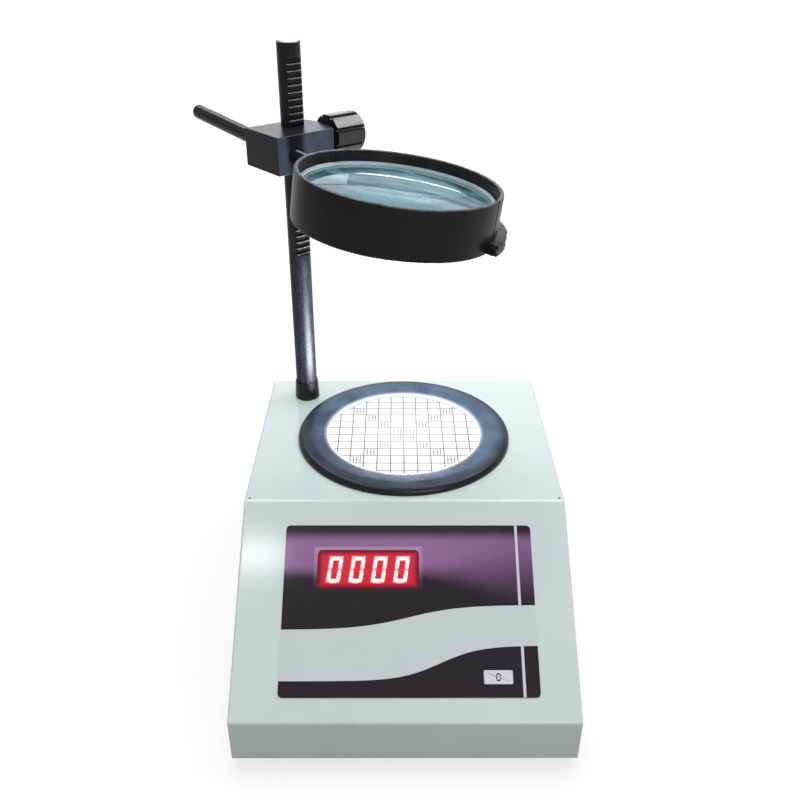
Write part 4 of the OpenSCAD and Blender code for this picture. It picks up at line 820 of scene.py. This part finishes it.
# Painted shadow: the chalky patches stop short of the handle, so the front keeps a dark band round it.
beside_handle = u.fade(BLOCK_FRONT - 0.8, BLOCK_FRONT - 0.1) * abs(v - HANDLE_V).fade(4, 9)
patch = here.stretch(1, 1, 0.5).grain(11, 4, 0.6).fade(0.3, 0.75)
chalk_and_handle_shadow = beside_handle * (0.35 + 0.45 * patch)
dress(material, {**sockets, "Base Color": chalk_and_handle_shadow.mix(colour, (78, 87, 106))}, "head_block")

material, here, colour, sockets = stove_enamel("handle_enamel", handle, (26, 26, 28), (38, 39, 43), 0.12)
u, v, z = here.split()
# Painted highlight: a bright, partly metallic streak along the top of the handle just out of the head.
painted_highlight_scratch = u.fade(27, 30) * (1 - u.fade(34, 66)) * (1 - abs(v).fade(0.5, 1.6)) * (z > 4)
painted_highlight_scratch = painted_highlight_scratch * here.stretch(0.12, 1, 1).grain(0.7, 4).fade(0.3, 0.55)
dress(material, {**sockets, "Base Color": painted_highlight_scratch.mix(colour, (200, 202, 206)),
                 "Metallic": painted_highlight_scratch * 0.4}, "lens_handle")

material, here, colour, sockets = stove_enamel("collar_enamel", post_place, (14, 15, 18), (27, 30, 38))
dress(material, {**sockets, "Base Color": colour}, "post_collar", "post_backing_plate")

# %% [markdown]
# The post is the same enamel with its wear on top: bare crests on the rack, whose bright lines are also a
# painted highlight along each tooth's upper edge, a bare upper end, and coarse orange peel on the plain
# length below the rack, with lighter specks there that are a painted highlight. The bright lines on the
# crests are found from the post's own millimetres and the pitch of the teeth.

# %% The post's wear
MODULE, MESH_Z, TEETH_BELOW, TEETH_ABOVE, CREST, RACK_FACE = 1.5, 212.7, 18.5, 11.5, 1.41, 5.6
TOOTH = math.pi * MODULE
RACK_LOW, RACK_TOP = MESH_Z - TEETH_BELOW * TOOTH, MESH_Z + TEETH_ABOVE * TOOTH
POST_TOP = round(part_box("post")[1].z / MM - DECK, 1)
material, here, colour, sockets = stove_enamel("post_enamel", post_place, (15, 16, 19), (25, 28, 37))
u, _, z = here.split()
in_gap = (z - MESH_Z).math("WRAP", TOOTH / 2, -TOOTH / 2)
# Wear and painted highlight: a bright line on each crest, at the tooth's upper edge, where light catches.
crest = 1 - abs(in_gap + CREST).fade(0.2, 0.5)
on_rack = z.fade(RACK_LOW - 1, RACK_LOW + 1) * (1 - z.fade(RACK_TOP - 1, RACK_TOP + 1)) * (u > RACK_FACE)
crest_wear_and_highlight = crest * on_rack * here.grain(2.5, 3).fade(0.25, 0.5)
bare_metal_and_highlight = (crest_wear_and_highlight * 0.85).either(z.fade(POST_TOP - 1.2, POST_TOP - 0.6) * 0.9)
below = 1 - z.fade(RACK_LOW - 6, RACK_LOW)
orange_peel = here.stretch(1, 1, 0.7).grain(1.2, 3, 0.6)
# Painted highlight: lighter specks on the plain length below the rack.
painted_highlight_speckle = orange_peel.fade(0.46, 0.62) * below
colour = (painted_highlight_speckle * 0.3).mix(colour, (84, 90, 108))
relief = here.grain(0.7, 3) * 0.5 + orange_peel * (0.2 + below)
dress(material, {"Base Color": bare_metal_and_highlight.mix(colour, (196, 198, 202)), "Metallic": bare_metal_and_highlight * 0.6,
                 "Roughness": sockets["Roughness"] + 0.06 * below, "Specular IOR Level": 0.38,
                 "Normal": relief.bump(0.09, 0.7)}, "post")

# %% [markdown]
# ## The barrel, its keeper ring and the knob
# These are black mouldings. The barrel has faint upright drag marks and a painted highlight along its rim,
# drawn as scuffs; the knob is glossier, and its lobes are polished by fingers. The keeper that holds the lens
# down is painted pale along its inner edge, a painted highlight that draws a thin light line round the glass.

# %% The barrel, its keeper ring and the knob
moulded, start = finish("barrel_plastic")
here = start.at(lens_place)
x, y, z = here.split()
angle = y.math("ARCTAN2", x)
round_the_barrel = start.node("ShaderNodeCombineXYZ", {0: angle * (BARREL_R + 1), 1: z * 0.08, 2: 0.0})
drag, cloud, grit = round_the_barrel.grain(1.1, 4), here.grain(14, 3), here.grain(0.5, 2)
# Painted highlight: a lighter, patchy line along the barrel's top rim.
rim_painted_highlight = z.fade(BARREL_TOP - 0.9, BARREL_TOP - 0.2) * here.grain(5, 4).fade(0.3, 0.6)
black = (rim_painted_highlight * 0.7 + 0.03 * drag).mix((34, 34, 35), (110, 114, 122))
radius = distance(x, y)
LENS_TOP = LENS_MID + LENS_EDGE / 2
# Painted highlight: the keeper's inner edge, by the top of the lens, is painted pale.
inner_edge = (1 - radius.fade(LEDGE_IN + 0.5, LEDGE_IN + 1.5)) * z.fade(LENS_TOP - 0.8, LENS_TOP - 0.2)
keeper_painted_highlight = inner_edge * (0.6 + 0.4 * cloud)
dress(moulded, {"Base Color": keeper_painted_highlight.mix(black, (204, 208, 214)),
                "Roughness": 0.2 + 0.06 * drag + 0.1 * cloud,
                "Normal": (drag * 0.1 + grit * 0.3).bump(0.02, 0.4), "Specular IOR Level": 0.2},
      "barrel", "lens_retaining_ring")

polished, start = finish("knob_plastic")
here = start.at(drive)
cloud, grit = here.grain(6, 3), here.grain(0.4, 2)
dress(polished, {"Base Color": cloud.mix((15, 15, 18), (26, 27, 33)),
                 "Roughness": 0.16 + 0.1 * cloud, "Normal": grit.bump(0.02, 0.5), "Specular IOR Level": 0.9},
      "knob")

# %% [markdown]
# ## The lens glass
# Glass with a teal cast and a thin bloom of dust, wiped in arcs. The bloom is a diffuse shader, mixed over
# the glass by a noise that is stretched along the wiping. Dust shows most where it is seen at a slant, which
# the Layer Weight node gives. Real glass lets lamp light through, but a renderer takes its shadow as dark, so
# shadow rays pass straight through a clear shader, mixed in by the Light Path node.

# %% The lens glass
clear, start = finish("lens_glass")
here = start.at(lens_place)
smear = here.stretch(0.8, 1, 1).grain(24, 5, 0.62).fade(0.36, 0.64)
wisp = here.stretch(0.5, 1.2, 1).grain(14, 5, 0.65).fade(0.5, 0.72)
dress(clear, {"Base Color": smear.mix((64, 112, 126), (128, 168, 178)), "Roughness": 0.03,
              "Transmission Weight": 1.0, "IOR": 1.5, "Specular IOR Level": 0.28}, "magnifier_glass")
tree = clear.node_tree
shader, output = tree.nodes["Principled BSDF"], tree.nodes["Material Output"]
bloom = start.node("ShaderNodeBsdfDiffuse", {"Color": paint(116, 154, 165)})
slant = start.node("ShaderNodeLayerWeight", {"Blend": 0.5}, out="Facing").fade(0.05, 0.6)
share = slant * (0.06 + 0.26 * smear + 0.5 * wisp) + 0.02
dusty = start.node("ShaderNodeMixShader", {0: share, 1: Wire(tree, shader.outputs[0]), 2: bloom})
shadow = start.node("ShaderNodeLightPath", out="Is Shadow Ray")
through = start.node("ShaderNodeBsdfTransparent", {"Color": paint(236, 248, 247)})
blend = start.node("ShaderNodeMixShader", {0: shadow, 1: dusty, 2: through})
tree.links.new(blend.socket, output.inputs["Surface"])

# %% [markdown]
# ## Metals
# Screws, shaft and pins are zinc-plated steel with a soft bluish bloom; the small screws of the head are
# black oxide; pinion, bush and pillars are turned brass with fine tool rings. All get their look from
# metallic colour and uneven roughness.

# %% Metals
zinc, start = finish("zinc_plate")
here = start.at(whole)
bloom, brush = here.grain(3, 3), here.stretch(1, 1, 8).grain(0.6, 2)
dress(zinc, {"Base Color": bloom.mix((176, 180, 186), (206, 206, 202)), "Metallic": 1.0,
             "Roughness": 0.24 + 0.2 * bloom, "Normal": brush.bump(0.01, 0.4)},
      "foot_screws", "base_screws", "rear_screws", "front_board_screws", "power_board_screws",
      "transformer_screws", "ring_screws", "post_washer", "post_nut", "pinion_shaft", "inlet_screws",
      "inlet_pins", "transformer_strap")

oxide, start = finish("black_oxide")
here = start.at(whole)
bloom = here.grain(2, 3)
dress(oxide, {"Base Color": bloom.mix((22, 22, 24), (44, 43, 44)), "Metallic": 0.7,
              "Roughness": 0.32 + 0.2 * bloom, "Normal": here.grain(0.4, 2).bump(0.01, 0.4)},
      "knob_grub_screw", "handle_grub_screw", "barrel_clamp_screw")

brass, start = finish("turned_brass")
here = start.at(head)
tarnish, rings = here.grain(4, 4), here.stretch(4, 1, 4).grain(0.5, 1)
dress(brass, {"Base Color": tarnish.mix((206, 172, 98), (160, 124, 66)), "Metallic": 1.0,
              "Roughness": 0.22 + 0.25 * tarnish, "Normal": rings.bump(0.01, 0.4)},
      "front_pillars", "power_pillars", "pinion_bush", "pinion")

# %% [markdown]
# ## The rear fittings, sleeve and feet
# Inlet, switch frame, fuse holder and pen socket are black moulded plastic with a fine matt texture, and so
# are the components on the boards. The rocker is glossy red, the feet are dull rubber with a dusty bloom, and
# the handle's sleeve is black nylon.

# %% The rear fittings, sleeve and feet


def moulding(name, low, high, rough, *names, grain=0.5, depth=0.02, gloss=0.5):
    """A moulded or painted finish with soft clouds and a fine texture."""
    material, start = finish(name)
    here = start.at(whole)
    cloud, texture = here.grain(8, 3), here.grain(grain, 2)
    dress(material, {"Base Color": cloud.mix(low, high), "Roughness": rough + 0.12 * texture + 0.08 * cloud,
                     "Normal": texture.bump(depth, 0.6), "Specular IOR Level": gloss}, *names)


moulding("matt_black_plastic", (30, 30, 32), (42, 42, 45), 0.42, "reset_switch", "front_components",
         "buzzer", "power_components", "mains_inlet", "fuse_holder", "panel_nuts", "fuse_cap",
         "power_switch_frame", "pen_socket", gloss=0.4)
moulding("rocker_plastic", (176, 18, 26), (192, 26, 32), 0.2, "power_rocker")
moulding("foot_rubber", (34, 34, 35), (58, 57, 56), 0.72, "rubber_feet", grain=0.9, depth=0.06, gloss=0.3)
moulding("black_nylon", (18, 18, 20), (28, 28, 31), 0.34, "handle_sleeve", gloss=0.35)

# %% [markdown]
# ## Inside the cabinet
# What is inside hardly shows, but whoever opens the model finds it finished: solder-mask green with tracks,
# stacked laminations, taped copper, yellow phosphor, a white lamp pan under an opal sheet, and a grey lead.

# %% Inside the cabinet
moulding("lead_insulation", (128, 132, 138), (146, 150, 155), 0.5, "front_lead", grain=0.8)
moulding("opal_acrylic", (240, 242, 240), (246, 247, 245), 0.4, "diffuser")
moulding("white_pan_paint", (232, 232, 226), (240, 240, 235), 0.5, "lamp_pan", "led_board", grain=1.2)

board, start = finish("solder_mask")
here = start.at(whole)
route = here.split()[0] + 2 * here.cells(9)
track = (1 - route.repeat(3).fade(0.25, 0.4)) * here.grain(20, 1).fade(0.45, 0.55)
dress(board, {"Base Color": track.mix((24, 84, 50), (44, 120, 70)), "Roughness": 0.3 + 0.15 * track,
              "Normal": track.bump(0.04, 0.6)}, "front_board", "power_board")

core, start = finish("core_laminations")
here = start.at(whole)
layer = here.split()[1].repeat(0.5).fade(0.12, 0.2)
dress(core, {"Base Color": (layer * here.grain(3, 3)).mix((58, 52, 46), (120, 112, 102)),
             "Metallic": 0.5, "Roughness": 0.45 + 0.2 * layer, "Normal": layer.bump(0.05, 0.7)},
      "transformer_core")

coil, start = finish("taped_copper")
here = start.at(whole)
turns = here.split()[2].repeat(0.9).fade(0.1, 0.42)
dress(coil, {"Base Color": turns.mix((184, 104, 58), (120, 60, 30)), "Metallic": 0.6,
             "Roughness": 0.35 + 0.2 * turns, "Normal": (1 - turns).bump(0.15, 0.8)}, "transformer_coil")

chips, start = finish("lamp_phosphor")
here = start.at(whole)
dot = here.grain(1, 2)
dress(chips, {"Base Color": dot.mix((240, 222, 150), (250, 236, 180)), "Roughness": 0.4 + 0.2 * dot,
              "Emission Color": dot.mix((250, 240, 210), (255, 248, 228)),
              "Emission Strength": 1.0}, "lamp_leds")

# %% [markdown]
# ## The floor and the surroundings
# The counter stands on a plain pale floor that runs out of the picture. Seen by the camera or through glass,
# the floor has a glow of its own that makes it white, and a weaker one in gloss. For all other light it is a
# plain grey card, so that it keeps the shadow and doesn't light the object from below. The world works the
# same way: in gloss its back is pale, with soft streaks, and in front and above there is the darker room that
# the maker of the picture stands in, which is what keeps black plastic black.

# %% The floor and the surroundings
fresh()
bpy.ops.mesh.primitive_plane_add(size=60, location=(0, 0, 0))
floor = bpy.context.object
floor.name = "floor"


def rays(start, *kinds):
    """1 for rays of these kinds, as the Light Path node names them."""
    path = start.node("ShaderNodeLightPath").socket.node
    found = [Wire(start.tree, path.outputs["Is %s Ray" % kind]) for kind in kinds]
    total = found[0]
    for more in found[1:]:
        total = total.either(more)
    return total


card, start = finish("floor_card")
spot = start.node("ShaderNodeTexCoord", out="Object")
reach = spot.node("ShaderNodeVectorMath", {0: spot}, out="Value", operation="LENGTH")
glow = reach.fade(0.3, 2.4) * 0.27 + 0.72
across, along, _ = spot.split()
behind = (across * 0.6 + along).fade(-0.2, 1.2) * 0.3 + 0.25
tree = card.node_tree
grey = start.node("ShaderNodeBsdfDiffuse", {"Color": (0.305, 0.305, 0.305, 1)})
shown = (rays(start, "Glossy") * behind).either(rays(start, "Camera", "Transmission"))
white = start.node("ShaderNodeEmission", {"Color": (1, 1, 1, 1), "Strength": glow * shown})
total = start.node("ShaderNodeAddShader", {0: grey, 1: white})
tree.links.new(total.socket, tree.nodes["Material Output"].inputs["Surface"])
floor.data.materials.append(card)

world = bpy.data.worlds.new("studio")
bpy.context.scene.world = world
world.use_nodes = True
start = Wire(world.node_tree)
AMBIENT, ROOM = 0.26, 0.2
look = start.node("ShaderNodeTexCoord", out="Generated")
side, back, up = look.split()
streak = look.stretch(1.5, 1.5, 14).grain(1, 3).fade(0.45, 0.62)
wall = (0.24 + 0.2 * side.fade(-0.25, 0.15)) * (0.4 + 1.5 * streak)
sweep = back.fade(0.1, 0.6) * (1 - up.fade(0.47, 0.66)) * wall + ROOM
strength = (rays(start, "Glossy") * sweep).either(rays(start, "Camera", "Transmission")).either(AMBIENT)
backing = world.node_tree.nodes["Background"]
backing.inputs["Color"].default_value = (0.99, 0.995, 1, 1)
world.node_tree.links.new(strength.socket, backing.inputs["Strength"])
print("floor and world are white to the eye and grey to the lamps")

# %% [markdown]
# ## Lamps
# A large soft box hangs over the counter, a little behind it, so the deck is lightest, the slope darker and
# the lip darkest, with a fill from the front. The small ones are there for what they mirror in: two strips in
# front make the band across slope and film, and a few boxes behind put a sheen on knob, ring, block, handle
# and lens. The ruled disc is a lamp too: a small area light on it, hidden from the camera, throws its glow on
# post and barrel.

# %% Lamps


def softbox(name, place, target, size, power, colour=(1, 1, 1)):
    """An area lamp that shines on a target; places and sizes are in metres."""
    fresh()
    bpy.ops.object.light_add(type="AREA", location=place)
    lamp = bpy.context.object
    lamp.name = name
    lamp.rotation_euler = (Vector(target) - Vector(place)).to_track_quat("-Z", "Y").to_euler()
    lamp.data.shape, lamp.data.size, lamp.data.size_y = "RECTANGLE", size[0], size[1]
    lamp.data.energy, lamp.data.color = power, colour
    print("lamp", name, "of", power, "W")


MIDDLE = (0, 0, 0.12)
softbox("overhead", (-0.12, 0.4, 1.7), MIDDLE, (1.5, 1.5), 21.2)
softbox("film_strip", (0.0, -0.5, 1.3), (0.0, -0.067, 0.096), (0.44, 0.06), 0.1)
softbox("enamel_strip", (-0.31, -0.514, 1.3), (-0.31, -0.067, 0.096), (0.13, 0.055), 0.38)
softbox("front_fill", (0.8, -2.0, 1.3), MIDDLE, (1.2, 0.9), 14)
softbox("knob_sheen", (1.05, 0.6, 1.75), (-0.03, 0.165, 0.335), (1.05, 0.45), 9, (0.9, 0.95, 1))
softbox("ring_sheen", (0.02, 2.0, 1.22), (0.03, 0.1, 0.13), (1.1, 0.4), 1.25, (0.9, 0.95, 1))
softbox("block_sheen", (-0.33, 2.0, 0.76), (-0.08, 0.1, 0.34), (0.46, 0.42), 0.9, (0.8, 0.9, 1))
softbox("handle_sheen", (-0.8, 1.5, 1.5), (-0.07, 0.1, 0.335), (0.5, 0.4), 2.2)
softbox("lens_line", (0.15, 2.0, 0.62), (0, 0.05, 0.34), (1.2, 0.03), 0.6)

fresh()
above_disc = (disc @ shift(0, 0, 1.2)).translation
bpy.ops.object.light_add(type="AREA", location=above_disc, rotation=(math.pi, 0, 0))
glow_lamp = bpy.context.object
glow_lamp.name = "disc_glow"
glow_lamp.data.shape, glow_lamp.data.size, glow_lamp.data.energy = "DISK", 0.112, 1.2
glow_lamp.data.color = (0.84, 0.91, 1)
glow_lamp.visible_camera = glow_lamp.visible_transmission = False
print("lamp disc_glow shines up from the ruled disc")

# %% [markdown]
# ## The camera
# The camera stands where the photograph was taken from: in front, half a metre up, looking down by thirty
# degrees, with a lens of normal length.

# %% The camera
fresh()
bpy.ops.object.camera_add()
camera = bpy.context.object
STAND, SWING, TILT, ROLL = (-6.163, -520.442, 483.981), -0.32, 60.417, 0.212
camera.matrix_world = shift(*STAND) @ turn(SWING, "Z") @ turn(TILT, "X") @ turn(ROLL, "Z")
camera.data.lens, camera.data.sensor_width = 39.44, 36
bpy.context.scene.camera = camera
bpy.context.scene.view_settings.view_transform = "Standard"
print("camera at", [round(v, 3) for v in camera.location])
